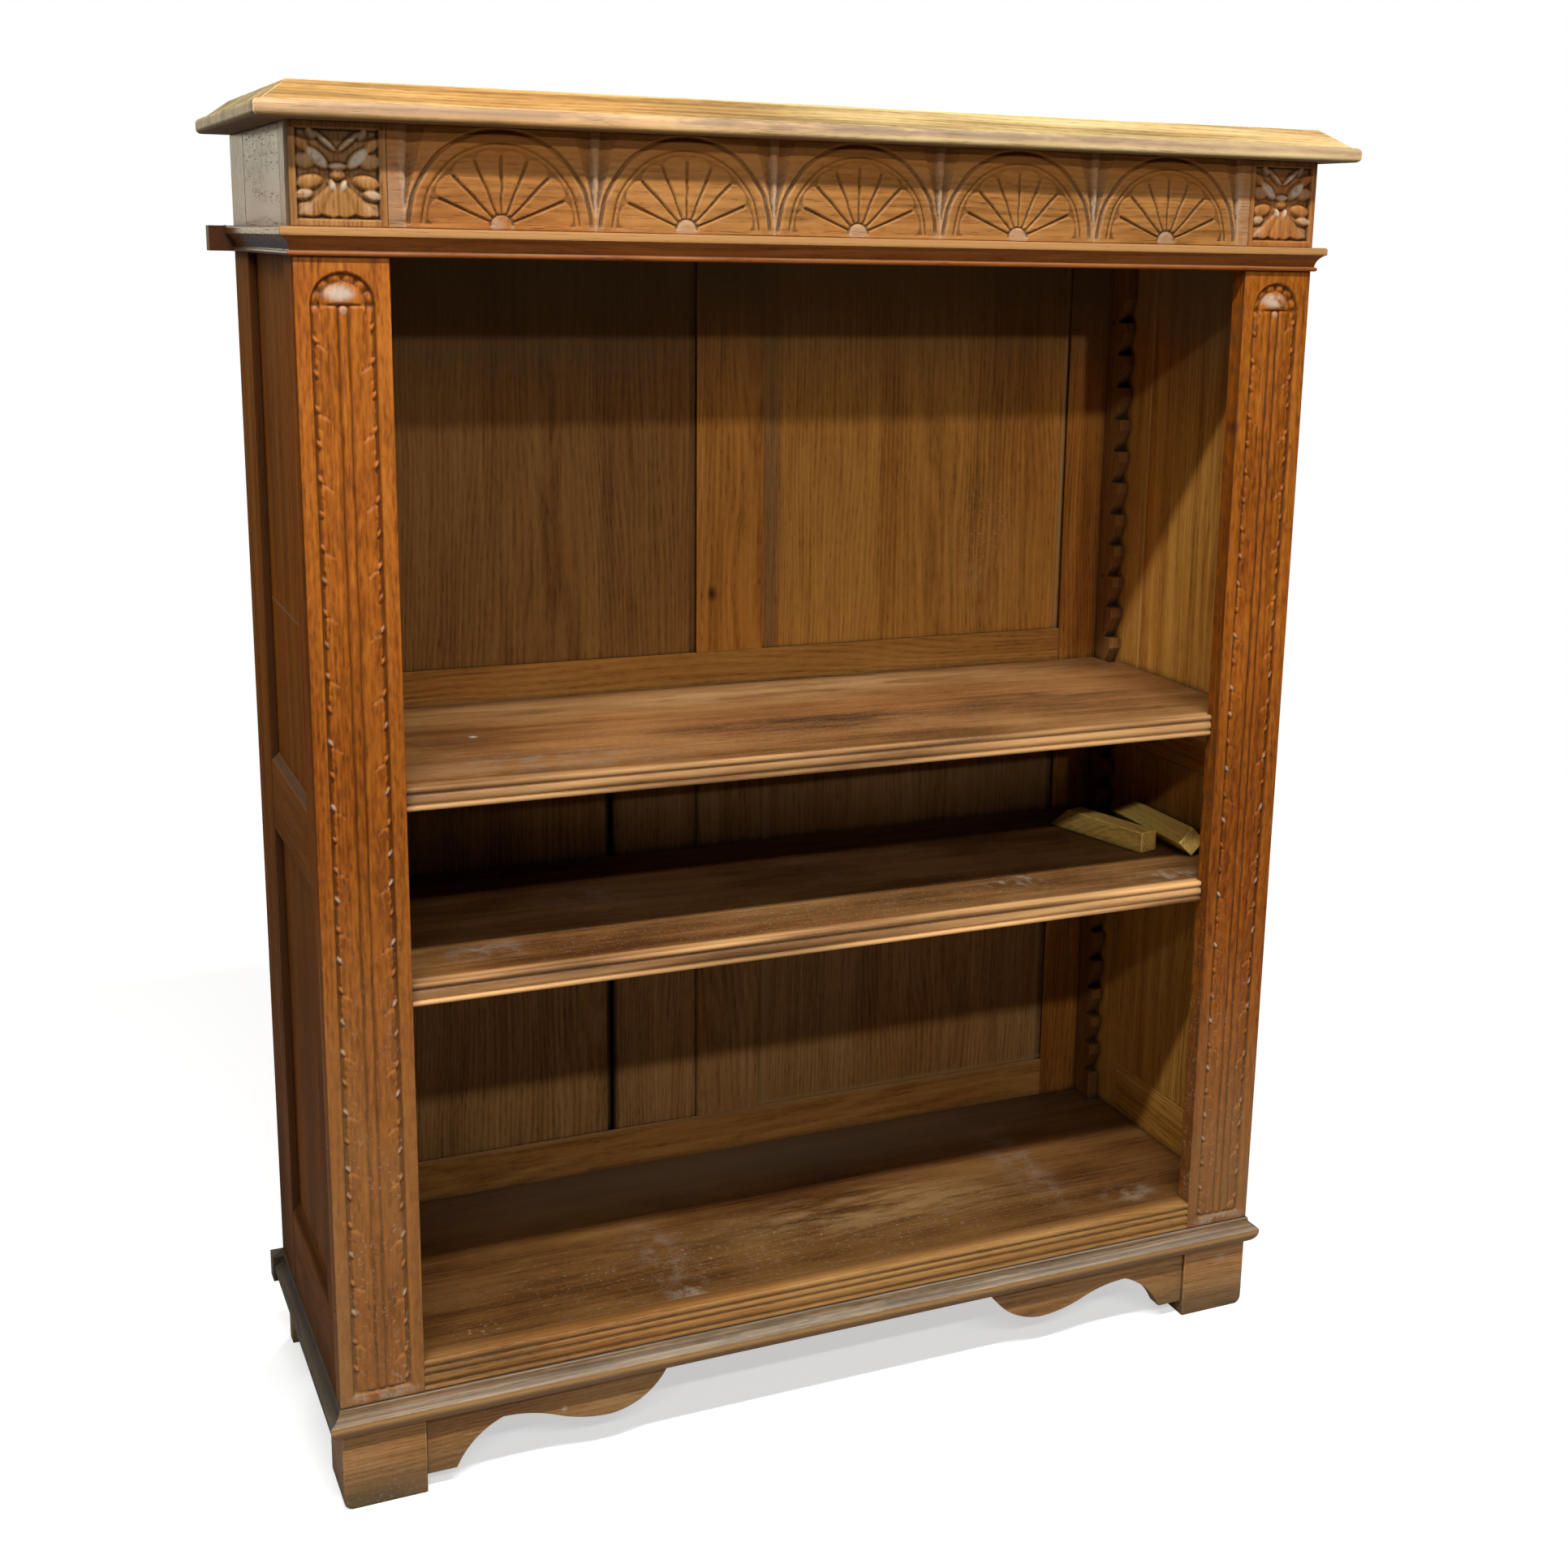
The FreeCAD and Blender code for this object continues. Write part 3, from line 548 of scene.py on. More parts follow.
def eased_copy(node, ease):
    """The node's board with its arrises rounded and marked for wear and painted edge highlights."""
    board = bmesh.new()
    board.from_mesh(frame["nodes"][node].data)
    bmesh.ops.remove_doubles(board, verts=board.verts, dist=WELD_DISTANCE)
    bmesh.ops.dissolve_limit(board, angle_limit=FLAT_ANGLE, verts=board.verts, edges=board.edges)
    arris = board.faces.layers.float.new("arris")
    for layer in list(board.loops.layers.uv.values()):
        board.loops.layers.uv.remove(layer)
    corners = [
        edge
        for edge in board.edges
        if edge.is_manifold and math.degrees(edge.calc_face_angle()) > SHARP_DEGREES
    ]
    before = set(board.faces)
    made = bmesh.ops.bevel(
        board, geom=corners, offset=ease, offset_type="OFFSET", segments=2, profile=0.5,
        affect="EDGES", clamp_overlap=False, material=-1, loop_slide=True,
    )
    for face in made["faces"]:
        if face.is_valid and face not in before:
            face[arris] = 1.0
    if node.rsplit("_", 1)[0] in CUT_AT_NECKING:
        bmesh.ops.bisect_plane(
            board, geom=(*board.verts, *board.edges, *board.faces), dist=0.00001,
            plane_co=(0.0, 0.0, NECKING_LEVEL), plane_no=(0.0, 0.0, 1.0),
        )
    for face in board.faces:
        face.smooth = True
    return board


def ease_board(node, grain, colour, colours, slot, ease=0.0011, zones=(), **look):
    """Replaces a plain CAD board by one with rounded arrises, pale from wear and painted highlight, and
    its own oak.
    """
    name = f"{node}_oak"
    board = eased_copy(node, ease)
    materials = [Oak(name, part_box(node), grain, colour, colours, **look).material]
    for zone, holds, zone_colour, changes in zones:
        for face in board.faces:
            if holds(face.calc_center_median()):
                face.material_index = len(materials)
        zone_look = {**look, **changes}
        finish = Oak(f"{name}_{zone}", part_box(node), grain, zone_colour, colours, **zone_look)
        materials.append(finish.material)
    piece = place_piece(name, board, materials, body_of(node), slot, node)
    normals = piece.modifiers.new("Even Normals", "WEIGHTED_NORMAL")
    normals.weight = 80
    normals.keep_sharp = True


def smooth_step(low, high, value):
    share = np.clip((value - low) / (high - low), 0.0, 1.0)
    return share * share * (3.0 - 2.0 * share)


def veed(distance, half_width, depth):
    """Depth of a V-shaped cut at a distance from its line."""
    return depth * np.clip(1.0 - np.abs(distance) / half_width, 0.0, None)


def domed(distance, half_width):
    """One on a round form's middle line, nothing at its edges."""
    return np.sqrt(np.clip(1.0 - (distance / half_width) ** 2, 0.0, None))


def spread_evenly(values, passes):
    """Values averaged with their neighbours on the grid."""
    for _ in range(passes):
        padded = np.pad(values, 1, mode="edge")
        values = (
            padded[:-2, 1:-1] + padded[2:, 1:-1] + padded[1:-1, :-2] + padded[1:-1, 2:] + 4 * values
        ) / 8
    return values


ARRIS_EASE = 0.0012
RIM_STEPS = (0.00035, 0.0008, 0.0013)
RIM_WIDTH = 0.0022
RIM_DEPTH = 0.012  # how far behind the front the sharp edges of a carved board begin


def edge_round(places):
    """Depth of the rounded arris near the ends of a row of places."""
    inward = np.minimum(places - places[0], places[-1] - places)
    left = np.clip(1.0 - inward / ARRIS_EASE, 0.0, 1.0)
    return ARRIS_EASE * (1.0 - np.sqrt(1.0 - left**2))


def with_rims(start, end, count):
    """Even places from start to end, with closer ones at both ends for the arris."""
    inner = np.linspace(start + RIM_WIDTH, end - RIM_WIDTH, count)
    first = [start, *(start + step for step in RIM_STEPS)]
    last = [*(end - step for step in reversed(RIM_STEPS)), end]
    return np.concatenate((first, inner, last))


def relief_board(low, high, columns, rows, depth, dust_and_highlight, contrast, sunk=0.0):
    """A board whose front is a fine grid, pushed back by the depth of its carving."""
    depth = np.maximum(depth, edge_round(columns)[None, :])
    depth = np.maximum(depth, edge_round(rows)[:, None])
    # ridge is low in the cuts and high on raised parts, for painted shade in the cuts and painted
    # highlight on the ridges; sunk darkens the deepest ground further as painted shade
    ridges = 0.5 + (spread_evenly(depth, 14) - depth) / contrast - sunk * depth / depth.max()
    ridges = np.clip(ridges, 0.0, 1.0)
    board = bmesh.new()
    across, up = len(columns) - 1, len(rows) - 1
    bmesh.ops.create_grid(board, x_segments=across, y_segments=up, size=0.5)
    ridge = board.verts.layers.float.new("ridge")
    pale = board.verts.layers.float.new("dust_and_highlight")
    for vert in board.verts:
        column = round((vert.co.x + 0.5) * across)
        row = round((vert.co.y + 0.5) * up)
        vert[ridge] = ridges[row, column]
        vert[pale] = dust_and_highlight[row, column]
        vert.co = (columns[column], low.y + depth[row, column], rows[row])
    rim = [edge for edge in board.edges if edge.is_boundary]
    made = bmesh.ops.extrude_edge_only(board, edges=rim)["geom"]
    for vert in made:
        if isinstance(vert, bmesh.types.BMVert):
            vert.co.y = high.y
            vert[ridge] = 0.5
            vert[pale] = 0.0
    back = [edge for edge in made if isinstance(edge, bmesh.types.BMEdge) and edge.is_boundary]
    bmesh.ops.edgeloop_fill(board, edges=back)
    bmesh.ops.recalc_face_normals(board, faces=board.faces)
    for face in board.faces:
        face.smooth = True
    for edge in board.edges:
        if edge.is_manifold and edge.calc_face_angle() > math.radians(40) and edge.verts[0].co.y > low.y:
            edge.smooth = min(vert.co.y for vert in edge.verts) < low.y + RIM_DEPTH
    return board


def rib_half(z):
    """Half the width of the rib between two fans, which grows upwards."""
    return np.clip(0.0012 + 0.07 * (z - 0.02), 0.0012, 0.0055)


def lunette_depth(x, z, sizes):
    """Cut of the frieze: fans under arched bands, with ribbed hollows between them."""
    pitch = sizes.lunette_pitch
    run = pitch * sizes.lunette_count / 2
    wobble = 0.0004 * np.sin(x * 71.0 + 3.0 * np.sin(z * 90.0))
    across = np.mod(x + run, pitch) - pitch / 2 + wobble
    rise = z - sizes.boss_rise
    radius = np.hypot(across, rise)
    angle = np.arctan2(rise, across)
    cut = sizes.frieze_cut
    inner = sizes.arch_radius - sizes.arch_band
    reach = sizes.petal_reach

    petal = math.pi / sizes.petal_count
    share = np.mod(angle, petal) / petal * 2.0 - 1.0
    to_ray = (1.0 - np.abs(share)) * radius * petal / 2
    ray_half = 0.0013 + 0.0011 * smooth_step(0.35 * reach, reach, radius)
    level = np.minimum(np.abs(angle), math.pi - np.abs(angle))
    ray = veed(to_ray, ray_half, cut) * smooth_step(reach + 0.0012, reach - 0.0015, radius)
    ray = ray * smooth_step(0.5 * petal, 0.6 * petal, level)
    crown = np.sqrt(np.clip(1.0 - share**2, 0.0, 1.0))
    tip = reach * (0.93 + 0.14 * crown)
    scoop = 0.20 * cut * crown * smooth_step(0.4 * reach, reach, radius)
    ground = 0.42 * cut * (1.0 - smooth_step(inner - 0.005, inner - 0.001, radius))
    step = smooth_step(tip - 0.0006, tip + 0.0014, radius)
    within = np.maximum(scoop * (1.0 - step) + ground * step, ray)

    band_middle = (sizes.arch_radius + inner) / 2
    band = 0.30 * cut * (1.0 - domed(radius - band_middle, sizes.arch_band / 2))
    lines = np.maximum(
        veed(radius - inner, 0.0016, 0.7 * cut), veed(radius - sizes.arch_radius, 0.0026, 1.2 * cut)
    )
    aside = pitch / 2 - np.abs(across)
    half = pitch / 2 - np.sqrt(np.clip(sizes.arch_radius**2 - rise**2, 0.0, None))
    half = np.clip(np.minimum(half, 0.26 * (z - 0.012)), 0.0005, 0.024)
    hollow = cut * (0.30 + 1.35 * np.clip(1.0 - aside / half, 0.0, 1.0)) * (aside < half)
    rib = cut * (1.25 - 1.1 * domed(aside, rib_half(z)))
    hollow = np.where(aside < rib_half(z), np.minimum(hollow, rib), hollow)
    hollow = hollow * smooth_step(0.010, 0.024, z)

    depth = np.where(radius < inner, within, np.where(radius < sizes.arch_radius, band, hollow))
    depth = np.maximum(depth, lines * smooth_step(0.0, 0.008, z))
    boss = sizes.boss_size
    depth = np.where(radius < boss, -0.0004 + 0.7 * cut * (1.0 - domed(radius, boss)), depth)
    depth = np.maximum(depth, veed(radius - boss - 0.0006, 0.0014, 0.8 * cut))
    depth = depth * smooth_step(0.0, 0.002, rise)
    ends = smooth_step(run + 0.004, run - 0.003, np.abs(x))
    return depth * ends


def lunette_bloom(x, z, sizes):
    """Where the frieze is pale: dust on its ribs, on the bosses and on its plain ends."""
    pitch = sizes.lunette_pitch
    run = pitch * sizes.lunette_count / 2
    across = np.mod(x + run, pitch) - pitch / 2
    radius = np.hypot(across, z - sizes.boss_rise)
    aside = pitch / 2 - np.abs(across)
    outside = smooth_step(sizes.arch_radius - 0.009, sizes.arch_radius, radius)
    between = outside * np.where(aside < rib_half(z), 0.34, 0.06)
    ends = 0.18 * smooth_step(run - 0.004, run + 0.002, np.abs(x))
    return np.maximum(np.maximum(between, ends), 0.25 * (radius < sizes.boss_size))


LEAF_LOBES = (
    # across, up, half length, half width, lean in degrees, height, and paleness on the lobe's top, which
    # is dust and painted highlight
    (0.0, 0.0066, 0.0080, 0.0034, 0, 1.00, 0.75),
    (0.0, -0.0005, 0.0070, 0.0048, 0, 0.80, 0.0),
    (0.0180, 0.0138, 0.0128, 0.0058, 43, 1.00, 0.85),
    (0.0105, 0.0282, 0.0130, 0.0028, 42, 0.90, 0.55),
    (0.0225, 0.0345, 0.0058, 0.0036, 55, 0.75, 0.35),
    (0.0310, 0.0255, 0.0085, 0.0048, 40, 0.70, 0.0),
    (0.0290, 0.0110, 0.0098, 0.0068, 8, 0.80, 0.15),
    (0.0250, -0.0070, 0.0118, 0.0066, -12, 0.90, 0.0),
    (0.0300, -0.0180, 0.0085, 0.0050, -10, 0.80, 0.40),
    (0.0285, -0.0305, 0.0092, 0.0060, -24, 0.70, 0.15),
    (0.0050, -0.0100, 0.0054, 0.0032, 70, 1.00, 0.70),
)


def rosette(across, up, half_width, half_height, sizes):
    """Cut of a corner block, with a knot, petals, side lobes and a fluted leaf, and where it is pale with
    dust and painted highlights on the lobes' tops.
    """
    cut = sizes.block_cut
    standing = np.zeros_like(across)
    dust_and_highlight = np.zeros_like(across)
    for place, level, half_long, half_wide, lean, height, pale in LEAF_LOBES:
        turn = math.radians(lean)
        for side in (-1.0, 1.0):
            aside, rise = across * side - place, up - level
            long = (aside * math.cos(turn) + rise * math.sin(turn)) / half_long
            short = (rise * math.cos(turn) - aside * math.sin(turn)) / half_wide
            swell = np.sqrt(domed(np.hypot(long, short), 1.0))
            standing = np.maximum(standing, height * swell)
            dust_and_highlight = np.maximum(dust_and_highlight, pale * smooth_step(0.5, 1.0, swell))
    fan = np.arctan2(across, -(up + 0.002))
    flute = np.mod(fan / math.radians(24.0), 1.0) * 2.0 - 1.0
    swell = np.sqrt(np.clip(1.0 - flute**2, 0.0, 1.0))
    away = np.hypot(across, up + 0.002)
    edge = 0.0335 + 0.0030 * swell + 0.009 * smooth_step(0.30, 0.75, np.abs(fan))
    bell = (0.45 + 0.30 * swell) * smooth_step(0.004, 0.014, away)
    in_bell = (np.abs(fan) < math.radians(47.0)) & (away < edge)
    standing = np.where(in_bell, np.maximum(standing, bell), standing)
    gutter = smooth_step(math.radians(6.0), 0.0, np.abs(np.abs(fan) - math.radians(50.0)))
    standing = standing * (1.0 - 0.8 * gutter * smooth_step(0.008, 0.014, away) * (up < 0.0))
    depth = spread_evenly(cut * (1.0 - standing), 8)
    wide, tall = half_width - sizes.block_margin, half_height - sizes.block_margin
    reach = np.maximum(np.abs(across) / wide, np.abs(up) / tall)
    return depth * smooth_step(1.02, 0.95, reach), dust_and_highlight


HOOD_MARGIN = 0.014  # plain wood over the hood of a pilaster
KNOB_DROP = 0.0045  # from the foot of that hood down to its knob


def leaf_band(across, up, sizes, seed):
    """Distance from a pilaster's middle, and shares of the way up a leaf and up one of its lobes."""
    out = np.abs(across) + 0.0003 * np.sin(up * 61.0 + seed)
    side = np.where(across > 0, 0.31, 0.0)
    climb = up - 1.05 * (out - 0.015) + seed * 0.013 + 0.0016 * np.sin(up * 23.0 + seed)
    turns = climb / sizes.leaf_pitch + side
    return out, np.mod(turns, 1.0), np.mod(2.0 * turns, 1.0)


def lobe_dot(out, lobe, half, sizes):
    """Distance from the dot at the end of a leaf's lobe."""
    return np.hypot(np.minimum(lobe, 1.0 - lobe) * sizes.leaf_pitch / 2, out - (half - 0.0034))


def pilaster_depth(across, up, half_width, height, sizes, seed):
    """Cut of a pilaster: a reed between leaf bands, under an arched shell hood."""
    cut = sizes.pilaster_cut
    half = half_width - sizes.pilaster_margin
    foot = 0.012
    spring = height - HOOD_MARGIN - half
    above = np.clip(up - spring, 0.0, None)
    inward = half - np.hypot(across, above)
    inward = np.minimum(inward, up - foot)
    out, leaf, lobe = leaf_band(across, up, sizes, seed)
    pitch = sizes.leaf_pitch

    reed_half = sizes.reed_width / 2
    reed = cut * (0.70 - 0.62 * domed(out, reed_half))
    ridge = cut * (0.66 - 0.48 * domed(out - 0.0103, 0.0046))
    middle = np.where(out < reed_half, reed, ridge)
    middle = np.maximum(middle, veed(out - 0.0049, 0.0020, 0.95 * cut))

    blade = cut * (0.66 - 0.50 * leaf**1.2)
    stroke = np.minimum(leaf, 1.0 - leaf) * pitch
    stroke = (1.0 - smooth_step(0.0, 0.0050, stroke)) * smooth_step(0.017, 0.022, out)
    vein = 1.0 - smooth_step(0.0, 0.0034, np.abs(lobe - 0.5) * pitch / 2)
    vein = vein * smooth_step(0.018, 0.023, out)
    blade = np.maximum(blade, cut * np.maximum(0.80 * stroke, 0.55 * vein))
    scallop = np.sqrt(np.clip(1.0 - (2.0 * lobe - 1.0) ** 2, 0.0, 1.0))
    tip = half - 0.0062 + 0.0030 * scallop
    leafy = np.where(out < tip, blade, cut)
    body = np.where(out < 0.0150, middle, leafy)
    dot = lobe_dot(out, lobe, half, sizes)
    body = np.where(dot < 0.0026, np.minimum(body, cut * (0.5 - 0.48 * domed(dot, 0.0026))), body)

    hood_radius = np.hypot(across, up - spring)
    turned = np.arctan2(np.abs(up - spring), across)
    dome = sizes.hood_size
    shell = cut * (0.95 - 0.98 * domed(hood_radius, dome))
    beads = np.abs(np.sin(turned * 6.0)) * domed(hood_radius - (half + dome) / 2, (half - dome) / 2)
    gutter = cut * (1.40 - 0.75 * beads)
    share = smooth_step(spring - 0.014, spring, up)
    beside = body * (1.0 - share) + gutter * share
    body = np.where(hood_radius > dome, np.where(out > dome - 0.001, beside, body), body)
    body = np.where((hood_radius > dome) & (up > spring), gutter, body)
    body = np.where((hood_radius <= dome) & (up > spring), shell, body)
    body = np.maximum(body, veed(up - spring, 0.0018, 0.9 * cut) * (np.abs(across) < dome))
    knob = np.hypot(across, up - (spring - KNOB_DROP))
    body = np.where((knob < 0.0060) & (up > spring - KNOB_DROP), np.maximum(body, 0.85 * cut), body)
    body = np.where(knob < 0.0040, cut * (0.35 - 0.50 * domed(knob, 0.0040)), body)
    rim = np.maximum(body, veed(inward - 0.0012, 0.0020, cut))
    return spread_evenly(np.where(inward > 0.0, rim, 0.0) * smooth_step(-0.0004, 0.0006, inward), 2)


def pilaster_dust_and_highlight(across, up, half_width, height, sizes, seed):
    """Where a pilaster is pale: a painted highlight on the upper left of its hood, its rubbed knob, and
    dust at the ends of the lobes.
    """
    half = half_width - sizes.pilaster_margin
    spring = height - HOOD_MARGIN - half
    dome = sizes.hood_size
    # painted highlight: a pale crescent on the upper left of the hood's dome, where the light from above
    # falls
    away = np.hypot((across + 0.15 * dome) / (0.90 * dome), (up - spring - 0.52 * dome) / (0.48 * dome))
    hood = 0.75 * smooth_step(1.0, 0.3, away) * (up > spring)
    knob = np.hypot(across, up - (spring - KNOB_DROP))
    out, _, lobe = leaf_band(across, up, sizes, seed)
    dust = smooth_step(0.0034, 0.0012, lobe_dot(out, lobe, half, sizes)) * (up < spring)
    dust = dust * smooth_step(0.02, 0.08, up) * smooth_step(0.95, 0.55, up)
    dust = dust * smooth_step(-0.2, 0.4, np.sin(up * 83.0 + 2.0 * seed + 5.0 * (across > 0)))
    return np.maximum(np.maximum(hood, 0.3 * (knob < 0.0038)), 0.7 * dust)


class BOOKCASE_OT_carve_frieze(bpy.types.Operator):
    """Carve the frieze rail with its row of fans"""

    bl_idname = "bookcase.carve_frieze"
    bl_label = "Carve Frieze"

    def execute(self, context):
        sizes, colours = context.scene.bookcase_carving, context.scene.bookcase_colours
        low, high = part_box("frieze_rail")
        low.x, high.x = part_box("frieze_block_left")[1].x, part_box("frieze_block_right")[0].x
        columns = with_rims(low.x, high.x, count=800)
        rows = with_rims(low.z, high.z, count=90)
        x, z = np.meshgrid(columns, rows)
        depth = lunette_depth(x, z - low.z, sizes)
        dust_and_highlight = lunette_bloom(x, z - low.z, sizes)
        board = relief_board(low, high, columns, rows, depth, dust_and_highlight, contrast=0.0030, sunk=0.42)
        # painted shade: a warmer, darker colour over the upper half of the frieze, which the top's
        # overhang shades
        painted_shade_tint = mark((0.0, low.y, high.z), (FAR, 0.1, 0.060), 0.7, (0.33, 0.112, 0.012))
        finish = Oak(
            "frieze_rail_oak", (low, high), "X", colours.frieze, colours, **CARVED, marks=(painted_shade_tint,),
            rubbed=0.50, cut_dirt_and_shade=0.65, patch_tone=1.0, patch_size=0.6, specular=0.12, stain=0.5,
            stain_tint=(1.05, 0.74, 0.48),
        )
        place_piece("frieze_rail_oak", board, (finish.material,), "case", "carved_oak", "frieze_rail")
        return {"FINISHED"}


class BOOKCASE_OT_carve_blocks(bpy.types.Operator):
    """Carve the two corner blocks with a leaf rosette"""

    bl_idname = "bookcase.carve_blocks"
    bl_label = "Carve Corner Blocks"

    def execute(self, context):
        sizes, colours = context.scene.bookcase_carving, context.scene.bookcase_colours
        for side in SIDES:
            node = f"frieze_block_{side}"
            name = f"{node}_oak"
            low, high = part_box(node)
            columns = with_rims(low.x, high.x, count=128)
            rows = with_rims(low.z, high.z, count=144)
            x, z = np.meshgrid(columns, rows)
            middle = (low + high) / 2
            depth, dust_and_highlight = rosette(
                x - middle.x, z - middle.z, (high.x - low.x) / 2, (high.z - low.z) / 2, sizes
            )
            board = relief_board(low, high, columns, rows, depth, dust_and_highlight, contrast=0.0034, sunk=0.11)
            finish = Oak(
                name, (low, high), "Z", colours.block, colours, **CARVED, rubbed=0.35, cut_dirt_and_shade=0.92,
                specular=0.15, patch_tone=1.2, stain=0.4, stain_tint=(1.05, 0.60, 0.32),
            )
            place_piece(name, board, (finish.material,), "case", "carved_oak", node)
        return {"FINISHED"}


class BOOKCASE_OT_carve_pilasters(bpy.types.Operator):
    """Carve the two pilasters with reed, leaf bands and shell hood"""

    bl_idname = "bookcase.carve_pilasters"
    bl_label = "Carve Pilasters"

    def execute(self, context):
        sizes, colours = context.scene.bookcase_carving, context.scene.bookcase_colours
        dust, grime_and_shade, umber = colours.dust, colours.grime_and_shade, (0.13, 0.045, 0.012)
        for side, seed, colour, fade in (
            ("left", 0.0, colours.pilaster, (0.10, 0.75, 0.72)),
            ("right", 1.7, shaded(colours.pilaster, 0.90, 0.91, 0.8), (0.10, 0.55, 0.58)),
        ):
            node = f"pilaster_{side}"
            name = f"{node}_oak"
            low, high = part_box(node)
            columns = self.columns(low.x, high.x, sizes.pilaster_margin)
            rows = with_rims(low.z, high.z, count=1100)
            x, z = np.meshgrid(columns, rows)
            middle = (low + high) / 2
            form = (x - middle.x, z - low.z, (high.x - low.x) / 2, high.z - low.z, sizes, seed)
            depth, dust_and_highlight = pilaster_depth(*form), pilaster_dust_and_highlight(*form)
            board = relief_board(low, high, columns, rows, depth, dust_and_highlight, contrast=0.0024)
            look = dict(
                CARVED, rubbed=0.5, cut_dirt_and_shade=0.75, cut_colour=(0.055, 0.018, 0.005), fleck_tone=1.1,
                specks=(0.15, 0.85, 0.35), fade=fade, fade_colour=(0.33, 0.19, 0.074),
                marks=(
                    mark((middle.x, low.y, low.z + 0.007), (0.06, 0.02, 0.008), 0.9, dust, "cloud"),
                    mark((middle.x, low.y, low.z), (0.2, 0.02, 0.003), 1.0, grime_and_shade),
                    mark((0.463, low.y, 1.085), (0.006, 0.03, 0.014), 0.9, grime_and_shade),
                    mark((0.463, low.y, 0.7), (0.004, FAR, FAR), 0.7, umber, "cloud"),
                ),
            )
            front = Oak(name, (low, high), "Z", colour, colours, specular=0.15, **look)
            edge = Oak(f"{name}_edge", (low, high), "Z", colour, colours, specular=0.02, **look)
            for face in board.faces:
                if abs(face.normal.x) > 0.95:
                    face.material_index = 1
            place_piece(name, board, (front.material, edge.material), "case", "carved_oak", node)
        return {"FINISHED"}

    def columns(self, start, end, margin):
        """Places across a pilaster: wide apart on its plain edges, close on the carved panel."""
        lap = 0.0015
        edge = np.array((0.0, *RIM_STEPS, 0.004, 0.009))
        panel = np.linspace(start + margin - lap, end - margin + lap, 70)
        return np.concatenate((start + edge, panel, end - edge[::-1]))


class BOOKCASE_OT_ease_sides(bpy.types.Operator):
    """Ease and finish the framed sides"""

    bl_idname = "bookcase.ease_sides"
    bl_label = "Ease Sides"

    def execute(self, context):
        colours = context.scene.bookcase_colours
        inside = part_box("bottom_board")[1].x + 0.003
        rear_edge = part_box("side_rear_stile_left")[0].y
        middle_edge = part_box("side_upper_panel_left")[0].z + 0.003
        bottom_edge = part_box("side_lower_panel_left")[0].z + 0.003
        # shadow is painted shadow along the rear stile and the top of the bottom rail; the middle rail's
        # chamfer gets grey dust and a painted sheen; pale is a scratch
        shadow, chamfer_dust_and_sheen, pale = (0.05, 0.02, 0.008), (0.117, 0.076, 0.044), (0.40, 0.30, 0.20)
        marks = {
            "upper_panel": (mark((0.0, 0.0, 0.905), (FAR, FAR, 0.0022), 0.5, pale),),
            "rear_stile": (mark((0.0, rear_edge, 0.7), (3.0, 0.005, FAR), 0.95, shadow),),
            "middle_rail": (mark((0.0, 0.0, middle_edge), (FAR, FAR, 0.008), 0.9, chamfer_dust_and_sheen),),
            "bottom_rail": (mark((0.0, 0.0, bottom_edge), (FAR, FAR, 0.008), 0.9, shadow),),
        }
        # painted shade: a darker, greyer colour over the top of the lining, which lies in the necking's
        # shadow
        painted_top_shade = mark((0.525, 0.0, 1.28), (0.1, 0.3, 0.22), 0.85, (0.17, 0.15, 0.09))
        rubbed_joint = mark((0.525, rear_edge, 1.0), (0.1, 0.004, 0.8), 0.5, (0.62, 0.36, 0.12))
        lining = {"fade": NO_FADE, "marks": (painted_top_shade, rubbed_joint)}
        shine = {
            "gloss": 0.24, "specular": 0.26, "bump": 0.15, "fade": NO_FADE,
            "cracks": ((-0.55, 0.02, 1.352), (0.05, 0.14, 0.055)),
        }
        zones = (
            ("lining", lambda place: abs(place.x) < inside, colours.lining, lining),
            ("end", lambda place: abs(place.x) > inside and place.z > NECKING_LEVEL, colours.side, shine),
        )
        for side in SIDES:
            for part, grain in (
                ("front_stile", "Z"), ("rear_stile", "Z"), ("top_rail", "Y"), ("middle_rail", "Y"),
                ("bottom_rail", "Y"), ("upper_panel", "Z"), ("lower_panel", "Z"),
            ):
                ease_board(
                    f"side_{part}_{side}", grain, colours.side, colours, "case_oak",
                    ease=0.0006 if part == "front_stile" else 0.0011, zones=zones, gloss=0.62,
                    specular=0.04, streak_tone=0.9, fade=(0.30, 1.0, 1.0),
                    fade_colour=(0.115, 0.038, 0.0045), marks=marks.get(part, ()),
                )
        return {"FINISHED"}


